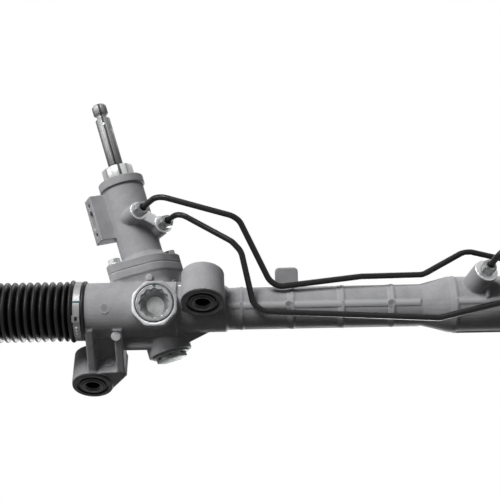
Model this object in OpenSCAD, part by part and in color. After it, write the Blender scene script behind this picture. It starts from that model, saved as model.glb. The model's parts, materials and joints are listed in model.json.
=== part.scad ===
/* [Rack and pinion] */
// Diameter of the rack bar
rack_d = 25; // [22:0.5:27]
// Rack travel from the middle to each end stop
rack_travel = 73; // [60:1:76]
// Rack bar end on the pinion side, measured from the pinion
rack_left = 159; // [155:1:170]
// Rack bar end on the cylinder side, measured from the pinion
rack_right = 625; // [620:1:636]
// Module of the pinion and of the rack teeth
gear_module = 2.2; // [2.1:0.05:2.3]
// Number of pinion teeth
pinion_teeth = 8; // [8:1:9]
// Length of the toothed part of the pinion
pinion_face = 34; // [28:1:36]
// Play at each tooth flank
flank_play = 0.05; // [0.04:0.01:0.09]
// Lean of the pinion towards the left end, seen from the yoke
pinion_lean = 16; // [10:1:20]
// Tilt of the pinion towards the front, about the rack
pinion_tilt = 25; // [20:1:30]

/* [Gear housing] */
// Outer diameter of the barrel beside the pinion
barrel_d = 56; // [54:1:60]
// Left face of the barrel, measured from the pinion
barrel_left = 71; // [68:1:76]
// Length of the necks that carry the bellows
neck_len = 15; // [13:1:18]
// Outer diameter of the necks
neck_d = 52; // [50:0.5:53]
// Clear bore for the rack through the barrel
rack_clear_d = 28; // [27.5:0.5:30]
// Bore in the left neck for the ball socket
socket_clear_d = 41; // [40:0.5:42]
// Outer diameter of the long tube
tube_d = 41.5; // [40:0.5:44]
// Bore of the long tube
tube_bore_d = 33; // [30:0.5:34]
// Start of the long tube
tube_x0 = 69; // [66:1:72]
// End of the long tube, where the taper starts
tube_x1 = 262.5; // [255:0.5:268]
// Length of the taper from the tube to the cylinder
taper_len = 26; // [20:1:32]
// Outer diameter of the cylinder
cylinder_d = 55; // [54:1:60]
// Bore of the cylinder
cylinder_bore_d = 44; // [42:0.5:45]
// Right face of the cylinder, before its neck
cylinder_x1 = 540; // [536:1:545]
// Places of the raised rings along the tube
ring_x = [69, 84.3, 134.8, 184.3, 233.9]; // [60:1:250]
// Height of the raised rings
ring_h = 0.9; // [0.5:0.1:2]

/* [Mounting bushes] */
// Outer diameter of the two bush bosses
boss_d = 42; // [41:0.5:46]
// Bore of the bush bosses
boss_bore_d = 36; // [34:0.5:37]
// Height of the front boss
front_boss_h = 33; // [30:1:36]
// Height of the rear boss
rear_boss_h = 34.5; // [32:0.5:38]
// Bore of the inner sleeves, for the mounting bolts
bolt_bore_d = 13; // [12:0.5:15]
// Outer diameter of the inner sleeves
sleeve_d = 21; // [19:0.5:23]
// Front bush axis along the rack, from the pinion
front_x = 47; // [46:0.5:50]
// Front bush axis in front of the rack
front_f = 40; // [38:1:42]
// Rear bush axis along the rack, from the pinion
rear_x = -68; // [-70:0.5:-66]
// Rear bush axis behind the rack
rear_b = 58; // [56:1:60]
// Lower face of the front boss, below the rack axis
front_drop = 20; // [18:0.5:22]
// Lower face of the rear boss, below the rack axis
rear_drop = 49.5; // [47:0.5:52]

/* [Valve tower] */
// Height of the parting plane along the pinion axis
part_plane = 47.5; // [46:0.5:50]
// Thickness of each joint flange
flange_t = 8.5; // [7:0.5:10]
// Outer diameter of the valve housing
tower_d = 43; // [42:0.5:46]
// Underside of the top ring along the pinion axis
tower_top = 137; // [134:0.5:140]
// Height of the top ring
top_ring_h = 9; // [8:0.5:11]
// Outer diameter of the top ring
top_ring_d = 47.5; // [46:0.5:50]
// Outer diameter of the bright neck
neck_collar_d = 32.5; // [32:0.5:34]
// Height of the bright neck
neck_collar_h = 14; // [12:0.5:16]
// Valve bore
valve_bore_d = 30; // [29:0.5:31]
// Height of the input shaft's tip along the pinion axis
shaft_top = 234; // [228:1:240]
// Diameter of the input shaft outside
shaft_d = 15.5; // [15:0.5:16.5]
// Distance from the tower axis to the port faces
port_reach = 33; // [32:0.5:36]
// Diameter of the port bosses
port_boss_d = 19; // [18:0.5:21]

/* [Yoke] */
// Face of the yoke boss, measured from the rack axis
yoke_face = 36; // [35:0.5:38]
// Outer diameter of the yoke boss
yoke_boss_d = 45; // [44:0.5:48]
// Diameter of the sliding yoke
yoke_d = 29.9; // [29:0.1:30]
// Diameter of the threaded plug
plug_d = 38; // [37:0.5:39]

/* [Bellows and tie rods] */
// Outer diameter of the bellows
bellows_d = 60; // [58:0.5:62]
// Length of one convolution
bellows_pitch = 7.5; // [7:0.1:8]
// Number of full-size convolutions
bellows_full = 19; // [17:1:20]
// Wall of the bellows
bellows_wall = 1.6; // [1.2:0.1:2]
// Outer diameter of the ball sockets
socket_d = 36; // [35:0.5:38]
// Diameter of the tie rod's ball
ball_d = 26; // [24:0.5:27]
// Diameter of the tie rods
rod_d = 14; // [13:0.5:15]
// Length of each tie rod from its ball centre
rod_len = 262; // [250:1:280]

/* [Transfer lines] */
// Outer diameter of the transfer lines
line_d = 6; // [5:0.5:6.5]
// Largest radius of the bends in the transfer lines
line_bend_r = 18; // [10:1:20]

/* [Hidden] */
$fn = 64;

cast_grey = [0.62, 0.63, 0.65];
bright = [0.85, 0.86, 0.87];
steel = [0.55, 0.56, 0.58];
rubber = [0.06, 0.06, 0.065];
black_paint = [0.09, 0.09, 0.1];
zinc = [0.75, 0.77, 0.76];
nylon = [0.9, 0.88, 0.8];

// Clearances: turning fit, sliding fit, and the room round a part that moves freely
turn_fit = 0.04;
slide_fit = 0.05;
air = 0.4;

// Tooth sizes
pitch_r = gear_module * pinion_teeth / 2;
tooth_add_rack = 0.7 * gear_module;
tooth_add_pinion = 0.85 * gear_module;
root_gap = 0.2 * gear_module;
pressure_angle = 25;
pinion_tip_r = pitch_r + tooth_add_pinion;
pinion_root_r = pitch_r - tooth_add_rack - root_gap;
rack_tip_y = 9;
rack_pitch_y = rack_tip_y - tooth_add_rack;
centre_y = rack_pitch_y + pitch_r;
rack_root_y = centre_y - pinion_tip_r - root_gap;
rack_pitch_x = PI * gear_module / cos(pinion_lean);

// Stops, and the parts at the rack's ends
stop_gap = 1;
socket_step_x = -rack_left + rack_travel + stop_gap;
neck_left_x = -barrel_left - neck_len;
neck_right_x = cylinder_x1 + neck_len;
cylinder_x0 = tube_x1 + taper_len;
chamber_x0 = cylinder_x0 + 12;
bulkhead_x1 = rack_right - rack_travel - stop_gap;
bulkhead_nose = 4;
bulkhead_len = 30;
chamber_x1 = bulkhead_x1 - bulkhead_nose - bulkhead_len;
piston_w = 14;
piston_x = (chamber_x0 + chamber_x1) / 2;
rack_seal_w = 12;
rack_seal_d = 38;

// Valve and pinion stack along the pinion axis
lower_boss_d = 44;
lower_boss_end = -43.5;
plug_flange_d = 37;
bearing_od = 35;
bearing_id = 17;
bearing_w = 10;
bearing_z0 = -pinion_face / 2 - 3 - bearing_w;
pinion_nut_h = 6;
bush_od = 28;
bush_id = 22;
bush_w = 12;
bush_z0 = pinion_face / 2 + 4;
pinion_cavity_d = 24;
sleeve_od = valve_bore_d - 2 * slide_fit;
sleeve_z0 = part_plane + 14;
sleeve_len = 52;
sleeve_id = 20;
head_d = 26;
valve_stem_d = sleeve_id - 2 * turn_fit;
needle_od = 26;
needle_id = 19;
needle_w = 11;
needle_z0 = sleeve_z0 + sleeve_len + 3;
seal_w = 7;
seal_z0 = tower_top - 8;
collar_z0 = tower_top + top_ring_h;
collar_bore_d = 17;
seal_groove_d = 35;
seal_groove_h = 3.2;
torsion_d = 5.6;
torsion_head_d = torsion_d + 2.4;
torsion_top = shaft_top - 19.5;
torsion_pin_z = torsion_top - 4;
torsion_pin_d = 3;
sleeve_pin_d = 2;
sleeve_pin_r = 11.6;
sleeve_pin_in = 3.2;

// Flange ears round the tower: x, y and radius
ears = [[-28, -18, 9.5], [27, 14, 9.5], [-18, 27, 9]];
skirt_h = 19;
bolt_d = 8;
bolt_head_h = 4.5;
bolt_tap_len = 18;

// Port faces on the tower: turn towards the front, offset along the face and height
port_turn = 55;
ports = [[-10, 100], [14.3, 83.2]];
nut_hex = 12;
nut_len = 9;

// Slanted frame of the lines and the ports on the cylinder
view_tilt = 39;
port1_face = [322.3, 34.5, 36];
port1_dir = [0.29, 0.57, 0.77];
port2_face = [500, 31.5, 24.5];
port2_dir = [0, 0.79, 0.61];
cyl_port_d = 24;
cyl_port_len = 44;
cyl_port_depth = 36;

// Yoke stack along its own axis
liner_t = 1;
yoke_seat_r = rack_d / 2 + turn_fit + liner_t;
yoke_z0 = 5;
yoke_z1 = 23;
plug_recess = 10;
plug_floor = 3.4;
plug_z0 = yoke_face + 0.6 - plug_recess - plug_floor;
spring_pocket_r = 8.2;
spring_pocket_z = yoke_seat_r + 1.5;
spring_wire = 2.2;
spring_turns = 2;

// Ball joints
ball_in = 20;
socket_len = 38;
seat_t = 1.5;
clip_w = 7;

// Vector helpers
function rot_x(v, a) = [v[0], v[1] * cos(a) - v[2] * sin(a), v[1] * sin(a) + v[2] * cos(a)];
function rot_y(v, a) = [v[0] * cos(a) + v[2] * sin(a), v[1], -v[0] * sin(a) + v[2] * cos(a)];
function from_pinion(v) = rot_x(rot_y(v, -pinion_lean) + [0, centre_y, 0], pinion_tilt);
function from_view(v) = rot_x([v[0], -v[2], v[1]], view_tilt);
function unit(v) = v / norm(v);
function port_point(p, out) =
    from_pinion([
        (port_reach + out) * cos(port_turn) + p[0] * sin(port_turn),
        -(port_reach + out) * sin(port_turn) + p[0] * cos(port_turn),
        p[1]]);

// Frames: everything is drawn from the point where the pinion crosses the rack
module rack_frame() { translate([-front_x, front_f, front_drop]) children(); }
module mesh_frame() { rotate([pinion_tilt, 0, 0]) children(); }
module pinion_frame() { mesh_frame() translate([0, centre_y, 0]) rotate([0, -pinion_lean, 0]) children(); }
module yoke_frame() { mesh_frame() rotate([90, 0, 0]) children(); }
module view_frame() { rotate([view_tilt, 0, 0]) children(); }
module along_x(x) { translate([x, 0, 0]) rotate([0, 90, 0]) children(); }
module toward(p, d) {
    u = unit(d);
    translate(p) rotate([0, acos(u[2]), atan2(u[1], u[0])]) children();
}
module port_frame(p) {
    pinion_frame() translate([0, 0, p[1]]) rotate([0, 0, -port_turn]) translate([0, p[0], 0])
        rotate([0, 90, 0]) children();
}

// A round tube that follows corner points, with round bends, as rings of points
function along(a, b) = unit(b - a);
function bend_angle(p, i) = acos(along(p[i - 1], p[i]) * along(p[i], p[i + 1]));
bend_steps = 5;
line_sides = 12;
function bend_r(p, i) =
    min(line_bend_r, 0.48 * min(norm(p[i] - p[i - 1]), norm(p[i + 1] - p[i])) / tan(bend_angle(p, i) / 2));
function bend_rings(p, i) =
    let(u = along(p[i - 1], p[i]), turn = bend_angle(p, i), w = unit(cross(u, along(p[i], p[i + 1]))),
        r = bend_r(p, i), x = -cross(w, u), c = p[i] - u * r * tan(turn / 2) - x * r)
    [for (k = [0:bend_steps]) let(a = turn * k / bend_steps)
        [c + r * (cos(a) * x + sin(a) * u), cos(a) * u - sin(a) * x]];
function line_rings(p) = let(n = len(p) - 1) concat([[p[0], along(p[0], p[1])]],
    [for (i = [1:n - 1]) each bend_rings(p, i)], [[p[n], along(p[n - 1], p[n])]]);
module bent_line(points, d) {
    rings = line_rings(points);
    last = len(rings) - 1;
    pts = [for (r = rings) let(s = unit(cross(r[1], from_view([0, 0, 1]))), t = cross(s, r[1]))
        for (k = [0:line_sides - 1]) let(a = 360 * k / line_sides) r[0] + d / 2 * (cos(a) * s + sin(a) * t)];
    faces = concat(
        [for (i = [0:last - 1]) for (k = [0:line_sides - 1]) let(m = (k + 1) % line_sides)
            [i * line_sides + k, i * line_sides + m, (i + 1) * line_sides + m, (i + 1) * line_sides + k]],
        [[for (k = [line_sides - 1:-1:0]) k]],
        [[for (k = [0:line_sides - 1]) last * line_sides + k]]);
    polyhedron(pts, faces);
}

// Corner points of the lines, chosen by hand in the slanted frame: along, up and forward
route_a = [[77, 92, 26], [84, 87, 25], [112, 28, 18], [121, 21.5, 16], [203, 30, 12], [265, 30.5, 8],
    [306, 51.5, 0], [314, 52, -1], [337, 46.5, -5], [356, 42, -3], [376, 50, 14]];
route_b = [[76, 67, 20], [85, 57, 22], [96, 5, 28], [106, -2, 29], [200, -7, 30], [276, -11, 35],
    [455, 31, 44]];
nut_grip = 4;
port1_top = port1_face + unit(port1_dir) * 34;
port2_top = port2_face + unit(port2_dir) * 26;
line_a = concat([port_point(ports[0], nut_grip), port_point(ports[0], 38)],
    [for (p = route_a) from_view(p)],
    [from_view([376, 74, 44]), from_view(port1_top), from_view(port1_face + unit(port1_dir) * nut_grip)]);
line_b = concat([port_point(ports[1], nut_grip), port_point(ports[1], 30)],
    [for (p = route_b) from_view(p)],
    [from_view(port2_top), from_view(port2_face + unit(port2_dir) * nut_grip)]);

// Involute flank of the pinion as points from the root to the tip
base_r = pitch_r * cos(pressure_angle);
function inv_deg(r) = r <= base_r ? 0 :
    let(t = sqrt(pow(r / base_r, 2) - 1)) (t * 180 / PI - atan(t));
pitch_half = 90 / pinion_teeth - flank_play / pitch_r * 180 / PI / 2;
function flank_angle(r) = pitch_half + inv_deg(pitch_r) - inv_deg(r);
flank_steps = 7;
flank_r = [for (i = [0:flank_steps])
    i == 0 ? pinion_root_r : base_r + (pinion_tip_r - base_r) * (i - 1) / (flank_steps - 1)];
module pinion_profile() {
    polygon([for (k = [0:pinion_teeth - 1]) each concat(
        [for (i = [0:flank_steps]) let(a = k * 360 / pinion_teeth - 90 - flank_angle(flank_r[i]))
            flank_r[i] * [cos(a), sin(a)]],
        [for (i = [flank_steps:-1:0]) let(a = k * 360 / pinion_teeth - 90 + flank_angle(flank_r[i]))
            flank_r[i] * [cos(a), sin(a)]])]);
}

// One slot between two rack teeth, as an outline across the teeth
slot_half = PI * gear_module / 4 + flank_play / 2;
slot_top = 2;
module slot_profile() {
    lo = rack_pitch_y - rack_root_y;
    hi = rack_tip_y - rack_pitch_y + slot_top;
    k = tan(pressure_angle);
    polygon([[-slot_half + lo * k, -lo], [slot_half - lo * k, -lo], [slot_half + hi * k, hi],
        [-slot_half - hi * k, hi]]);
}

// Outline shared by the two halves of the valve flange
module flange_outline(grow = 0) {
    hull() {
        for (e = ears) translate([e[0], e[1]]) circle(r = e[2] + grow);
        circle(d = tower_d + 8 + 2 * grow);
    }
}

module gear_housing() {
    color(cast_grey) rack_frame() difference() {
        union() {
            housing_body();
            pinion_casing();
            front_mount();
            rear_mount();
            cylinder_fittings();
        }
        housing_bores();
    }
}
module housing_body() {
    rib_w = 2.5;
    land_h = 6;
    along_x(neck_left_x) cylinder(d = neck_d, h = neck_len + 1);
    along_x(-barrel_left) cylinder(d = barrel_d, h = barrel_left + 20);
    along_x(10) cylinder(d = tube_d + 5, h = tube_x0 - 10);
    along_x(tube_x0 - 1) cylinder(d = tube_d, h = tube_x1 - tube_x0 + 1);
    for (x = ring_x) along_x(x - rib_w / 2) cylinder(d = tube_d + 2 * ring_h, h = rib_w);
    along_x(tube_x1) cylinder(d1 = tube_d, d2 = cylinder_d, h = taper_len);
    along_x(cylinder_x0) cylinder(d = cylinder_d, h = cylinder_x1 - cylinder_x0);
    along_x(cylinder_x0 + 5) cylinder(d = cylinder_d + 2 * ring_h, h = rib_w);
    along_x(cylinder_x1 - 8) cylinder(d = cylinder_d + 2 * ring_h, h = rib_w);
    along_x(cylinder_x1 - 1) cylinder(d = neck_d, h = neck_len + 1);
    // flat parting lands along the front and the bottom of the tube and the cylinder
    view_frame() {
        translate([tube_x0, -tube_d / 2 - 0.2, 1]) cube([tube_x1 - tube_x0 - 2, 4, land_h]);
        translate([cylinder_x0 + 6, -cylinder_d / 2 - 0.4, 2])
            cube([cylinder_x1 - cylinder_x0 - 12, 6, land_h]);
        translate([tube_x0, -3, -tube_d / 2 - 0.4]) cube([tube_x1 - tube_x0 - 2, 6, 4]);
        translate([cylinder_x0 + 6, -5, -cylinder_d / 2 - 1])
            cube([cylinder_x1 - cylinder_x0 - 12, 10, 6]);
    }
    // tab above the tube
    view_frame() translate([118, 2, 12]) rotate([90, 0, 0]) linear_extrude(5) hull() {
        square([23, 6]);
        for (x = [4, 19]) translate([x, 24]) circle(r = 4, $fn = 32);
    }
}
module pinion_casing() {
    pinion_frame() {
        translate([0, 0, lower_boss_end]) cylinder(d = lower_boss_d, h = part_plane - lower_boss_end - 2);
        translate([0, 0, part_plane - flange_t]) linear_extrude(flange_t) flange_outline();
        // skirt that draws in under the flange
        hull() {
            translate([0, 0, part_plane - flange_t]) linear_extrude(1) flange_outline(-1);
            translate([0, 0, part_plane - skirt_h]) linear_extrude(1) flange_outline(-4);
        }
        for (e = ears) translate([e[0], e[1], part_plane - skirt_h - 2]) cylinder(r = e[2] - 1, h = skirt_h);
    }
    yoke_frame() cylinder(d = yoke_boss_d, h = yoke_face);
    // small cast nub above the yoke boss
    yoke_frame() translate([-7, 30.5, 2]) cylinder(d = 7, h = 12);
}
module front_mount() {
    translate([front_x, -front_f, -front_drop]) cylinder(d = boss_d, h = front_boss_h);
    // saddle between the boss and the barrel
    translate([front_x - boss_d / 2, -front_f, -front_drop + 5])
        cube([boss_d, front_f + 2, front_boss_h - 9]);
    // slanted gusset towards the pinion casing
    view_frame() translate([0, 6, 0]) rotate([90, 0, 0]) linear_extrude(8)
        polygon([[60, -18], [54, -22], [21, -38], [10, -30], [20, -10]]);
}
module rear_mount() {
    x0 = -70;
    x1 = -33.5;
    rib = 8;
    wall_y = rear_b - 19.5;
    z_low = -rear_drop + 1;
    translate([rear_x, rear_b, -rear_drop]) cylinder(d = boss_d, h = rear_boss_h);
    // foot with a straight front wall, drawn back to the boss
    translate([0, 0, z_low]) linear_extrude(rear_boss_h - 10)
        polygon([[rear_x, wall_y - 0.4], [x1, wall_y - 0.4], [x1 + 1.5, wall_y + 6],
            [rear_x + 17, rear_b + 14], [rear_x, rear_b + 10]]);
    difference() {
        translate([x0, 0, 0]) rotate([90, 0, 90]) linear_extrude(x1 - x0)
            polygon([[-7, -28.5], [wall_y, z_low], [wall_y + 8, z_low], [wall_y + 8, -24], [22, -8],
                [0, -12]]);
        // recess between the two ribs
        translate([x0 + rib, 0, 0]) rotate([90, 0, 90]) linear_extrude(x1 - x0 - 2 * rib)
            polygon([[-14, -34], [wall_y - 0.5, z_low - 3], [wall_y - 0.5, z_low + 17], [6, -24],
                [-14, -22]]);
    }
    // bar and web from the foot to the lower end of the pinion casing
    along_x(x1 - 4) translate([31, 18, 0]) cylinder(d = 8, h = 34);
    translate([x1 - 4, 0, 0]) rotate([90, 0, 90]) linear_extrude(34)
        polygon([[14.5, -32], [21.5, -30], [18, -16], [8, -18]]);
}
module cylinder_fittings() {
    for (p = [[port1_face, port1_dir], [port2_face, port2_dir]]) {
        d = unit(from_view(p[1]));
        toward(from_view(p[0]) - d * cyl_port_len, d) cylinder(d = cyl_port_d, h = cyl_port_len);
    }
    // web under the first port
    view_frame() translate([323.5, -29.5, 8]) cube([3.5, 26, 22]);
}
module housing_bores() {
    // rack passage, from left to right
    along_x(neck_left_x - 1) cylinder(d = socket_clear_d, h = socket_step_x - neck_left_x + 1);
    along_x(socket_step_x - 1) cylinder(d = rack_clear_d, h = chamber_x0 - socket_step_x);
    along_x(tube_x0 + 10) cylinder(d = tube_bore_d, h = chamber_x0 - rack_seal_w - 8 - tube_x0 - 10);
    along_x(chamber_x0 - rack_seal_w) cylinder(d = rack_seal_d, h = rack_seal_w + 1);
    along_x(chamber_x0) cylinder(d = cylinder_bore_d, h = neck_right_x - chamber_x0 + 1);
    // pinion bores, from the bottom up, with a spot face for the lower plug
    bearing_z1 = bearing_z0 + bearing_w;
    pinion_frame() {
        translate([0, 0, lower_boss_end - 14]) cylinder(d = plug_flange_d + 3, h = 14);
        translate([0, 0, lower_boss_end - 1]) cylinder(d = bearing_od, h = bearing_z1 - lower_boss_end + 1);
        translate([0, 0, bearing_z1 - 1]) cylinder(d = pinion_cavity_d, h = bush_z0 - bearing_z1 + 2);
        translate([0, 0, bush_z0]) cylinder(d = bush_od, h = part_plane - bush_z0 + 1);
        translate([0, 0, part_plane - seal_groove_h]) cylinder(d = seal_groove_d, h = seal_groove_h + 1);
        for (e = ears) translate([e[0], e[1], part_plane + flange_t - bolt_tap_len])
            cylinder(d = bolt_d, h = bolt_tap_len);
    }
    // yoke bore and its thread
    yoke_frame() {
        cylinder(d = yoke_d + 2 * slide_fit, h = yoke_face + 1);
        translate([0, 0, plug_z0]) cylinder(d = plug_d, h = yoke_face);
    }
    // bush bores
    translate([front_x, -front_f, -front_drop - 1]) cylinder(d = boss_bore_d, h = front_boss_h + 2);
    translate([rear_x, rear_b, -rear_drop - 1]) cylinder(d = boss_bore_d, h = rear_boss_h + 2);
    // ports into the cylinder
    for (p = [[port1_face, port1_dir], [port2_face, port2_dir]]) {
        d = unit(from_view(p[1]));
        toward(from_view(p[0]) - d * cyl_port_depth, d) cylinder(d = 5, h = cyl_port_depth + 2);
        toward(from_view(p[0]) - d * 9, d) cylinder(d = nut_hex - 1.5, h = 12);
    }
    toward(plug_point, plug_dir) cylinder(d = gallery_d, h = 20);
}

// Bright round plug in the barrel beside the rear foot
gallery_d = 9.5;
plug_dir = from_view([0, 0, 1]);
plug_point = from_view([-39.7, -23.8, 9]);
module gallery_plug() {
    color(bright) rack_frame() toward(plug_point, plug_dir) cylinder(d = gallery_d, h = 11);
}

module valve_housing() {
    flange_z1 = part_plane + flange_t;
    color(cast_grey) rack_frame() difference() {
        union() {
            pinion_frame() {
                translate([0, 0, part_plane]) linear_extrude(flange_t) flange_outline();
                translate([0, 0, part_plane]) cylinder(d = tower_d, h = tower_top - part_plane + 1);
                translate([0, 0, flange_z1 - 1]) cylinder(d1 = tower_d + 7, d2 = tower_d, h = 6);
                translate([0, 0, tower_top]) cylinder(d = top_ring_d, h = top_ring_h);
                side_pad();
            }
            for (p = ports) port_frame(p) cylinder(d = port_boss_d, h = port_reach);
            port_web();
        }
        pinion_frame() {
            translate([0, 0, part_plane - 1]) cylinder(d = valve_bore_d, h = needle_z0 - part_plane + 1);
            translate([0, 0, needle_z0 - 1]) cylinder(d = needle_od, h = seal_z0 - needle_z0 + 2);
            translate([0, 0, seal_z0]) cylinder(d = valve_bore_d, h = collar_z0 - seal_z0 + 1);
            for (e = ears) translate([e[0], e[1], part_plane - 1]) cylinder(d = bolt_d + 0.6, h = 60);
            for (e = ears) translate([e[0], e[1], flange_z1]) cylinder(r = e[2] - 1, h = 9.2);
        }
        for (p = ports) port_frame(p) {
            cylinder(d = 5, h = port_reach + 1);
            translate([0, 0, port_reach - 9]) cylinder(d = nut_hex - 1.5, h = 10);
        }
    }
}
module port_web() {
    // flat milled web between the two port faces
    web_w = 12;
    drop = ports[0][1] - ports[1][1];
    span = ports[1][0] - ports[0][0];
    port_frame(ports[0]) rotate([0, 0, atan2(span, drop)]) translate([0, -web_w / 2, 8])
        cube([norm([drop, span]), web_w, port_reach - 9]);
}
module side_pad() {
    pad_z0 = 86;
    pad_h = tower_top - 2 - pad_z0;
    face_a = [-42, 0];
    face_b = [-34.5, -15.5];
    slot_w = 8;
    slot_l = 20;
    face_turn = atan2(face_b[1] - face_a[1], face_b[0] - face_a[0]);
    difference() {
        translate([0, 0, pad_z0]) linear_extrude(pad_h)
            polygon([face_a, face_b, [-18, -7], [-16, 0], [-19, 9]]);
        translate([(face_a[0] + face_b[0]) / 2, (face_a[1] + face_b[1]) / 2, pad_z0 + pad_h / 2])
            rotate([0, 0, face_turn]) {
            for (z = [-1, 1]) translate([0, 1, z * 16]) rotate([-90, 0, 0]) translate([0, 0, -3])
                cylinder(d = 5, h = 12);
            translate([-slot_w / 2, -1, -(slot_l - slot_w) / 2]) cube([slot_w, 5, slot_l - slot_w]);
            for (z = [-1, 1]) translate([0, -1, z * (slot_l - slot_w) / 2]) rotate([-90, 0, 0])
                cylinder(d = slot_w, h = 5);
        }
    }
}

module housing_seal() {
    color(rubber) rack_frame() pinion_frame() translate([0, 0, part_plane - seal_groove_h / 2])
        rotate_extrude() translate([seal_groove_d / 2 - seal_groove_h / 2, 0])
        circle(d = seal_groove_h - 0.1, $fn = 24);
}
module housing_bolts() {
    color(zinc) rack_frame() pinion_frame() for (e = ears) translate([e[0], e[1], part_plane + flange_t]) {
        cylinder(d = bolt_d * 2, h = 1.5);
        translate([0, 0, 1.5]) cylinder(d = 14, h = bolt_head_h, $fn = 6);
        translate([0, 0, -bolt_tap_len + 0.5]) cylinder(d = bolt_d, h = bolt_tap_len);
    }
}
module neck_collar() {
    color(bright) rack_frame() pinion_frame() difference() {
        union() {
            translate([0, 0, collar_z0 - 5]) cylinder(d = valve_bore_d, h = 6);
            translate([0, 0, collar_z0]) cylinder(d = neck_collar_d, h = neck_collar_h);
        }
        translate([0, 0, collar_z0 - 6]) cylinder(d = collar_bore_d, h = neck_collar_h + 8);
    }
}
module input_seal() {
    color(rubber) rack_frame() pinion_frame() translate([0, 0, seal_z0]) difference() {
        cylinder(d = valve_bore_d, h = seal_w);
        translate([0, 0, -1]) cylinder(d = needle_id + 2 * turn_fit, h = seal_w + 2);
        translate([0, 0, -1]) cylinder(d = needle_id + 5, h = 4.5);
    }
}
module seal_circlip() {
    color(steel) rack_frame() pinion_frame() translate([0, 0, seal_z0 + seal_w]) difference() {
        cylinder(d = valve_bore_d, h = 1.5);
        translate([0, 0, -1]) cylinder(d = valve_bore_d - 5, h = 4);
    }
}
module upper_valve_bearing() {
    color(steel) rack_frame() pinion_frame() translate([0, 0, needle_z0]) difference() {
        cylinder(d = needle_od, h = needle_w);
        translate([0, 0, -1]) cylinder(d = needle_id + 2 * turn_fit, h = needle_w + 2);
    }
}
module upper_pinion_bush() {
    color([0.7, 0.55, 0.3]) rack_frame() pinion_frame() translate([0, 0, bush_z0]) difference() {
        cylinder(d = bush_od, h = bush_w);
        translate([0, 0, -1]) cylinder(d = bush_id + 2 * turn_fit, h = bush_w + 2);
    }
}

race_r = (bearing_od + bearing_id) / 4;
bearing_ball_d = 5;
module race_ring(r_in, r_out) {
    rotate_extrude() difference() {
        translate([r_in, 0]) square([r_out - r_in, bearing_w]);
        translate([race_r, bearing_w / 2]) circle(d = bearing_ball_d + 2 * turn_fit);
    }
}
module lower_bearing_outer() {
    color(steel) rack_frame() pinion_frame() translate([0, 0, bearing_z0])
        race_ring(race_r + 1.6, bearing_od / 2);
}
module lower_bearing_inner() {
    color(steel) rack_frame() pinion_frame() translate([0, 0, bearing_z0])
        race_ring(bearing_id / 2, race_r - 1.6);
}
module lower_bearing_balls() {
    color(bright) rack_frame() pinion_frame() translate([0, 0, bearing_z0 + bearing_w / 2])
        for (i = [0:7]) rotate(i * 45) translate([race_r, 0, 0]) sphere(d = bearing_ball_d);
}
module pinion_nut() {
    color(steel) rack_frame() pinion_frame() translate([0, 0, bearing_z0 - pinion_nut_h]) difference() {
        cylinder(d = 24, h = pinion_nut_h, $fn = 6);
        translate([0, 0, -1]) cylinder(d = 12, h = pinion_nut_h + 2);
    }
}
module lower_plug() {
    color(zinc) rack_frame() pinion_frame() difference() {
        union() {
            translate([0, 0, lower_boss_end - 2]) cylinder(d = plug_flange_d, h = 2);
            translate([0, 0, lower_boss_end - 6.5]) cylinder(d = 31, h = 5, $fn = 6);
            translate([0, 0, lower_boss_end - 1]) cylinder(d = bearing_od, h = bearing_z0 - lower_boss_end + 1);
        }
        translate([0, 0, lower_boss_end - 3]) cylinder(d = 27, h = 20);
    }
}
module pinion() {
    half = pinion_face / 2;
    color(steel) rack_frame() pinion_frame() difference() {
        union() {
            translate([0, 0, bearing_z0 - pinion_nut_h]) cylinder(d = 12, h = pinion_nut_h + 1);
            translate([0, 0, bearing_z0]) cylinder(d = bearing_id, h = bearing_w + 1);
            translate([0, 0, bearing_z0 + bearing_w]) cylinder(d = 20, h = 3);
            translate([0, 0, -half]) linear_extrude(pinion_face) pinion_profile();
            translate([0, 0, half]) cylinder(d = 20, h = 4.5);
            translate([0, 0, bush_z0]) cylinder(d = bush_id, h = part_plane - bush_z0 + 1);
            translate([0, 0, part_plane]) cylinder(d = head_d, h = sleeve_z0 - part_plane);
        }
        // pocket for the tongue of the input shaft, and the bore of the torsion bar
        translate([0, 0, sleeve_z0 - 11]) cylinder(d = 16.8, h = 12);
        translate([0, 0, half + 6]) cylinder(d = torsion_d + 2 * slide_fit, h = 60);
        sleeve_pin_shape();
    }
}
module valve_sleeve() {
    color(steel) rack_frame() pinion_frame() difference() {
        translate([0, 0, sleeve_z0]) rotate_extrude() difference() {
            translate([sleeve_id / 2, 0]) square([(sleeve_od - sleeve_id) / 2, sleeve_len]);
            for (z = ring_rows) translate([sleeve_od / 2 - 1.5, z]) square([3, 2]);
            for (z = port_rows) translate([sleeve_od / 2 - 1, z]) square([3, 5]);
        }
        sleeve_pin_shape();
    }
}
ring_rows = [4, 17, 30, 43];
port_rows = [9, 22, 35];
module sleeve_rings() {
    color(nylon) rack_frame() pinion_frame() for (z = ring_rows) translate([0, 0, sleeve_z0 + z])
        ring_cut(sleeve_od, sleeve_od - 3, 2);
}
module sleeve_pin_shape() {
    translate([sleeve_pin_r, 0, sleeve_z0 - sleeve_pin_in]) cylinder(d = sleeve_pin_d, h = 2 * sleeve_pin_in);
}
module sleeve_pin() { color(bright) rack_frame() pinion_frame() sleeve_pin_shape(); }
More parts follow.
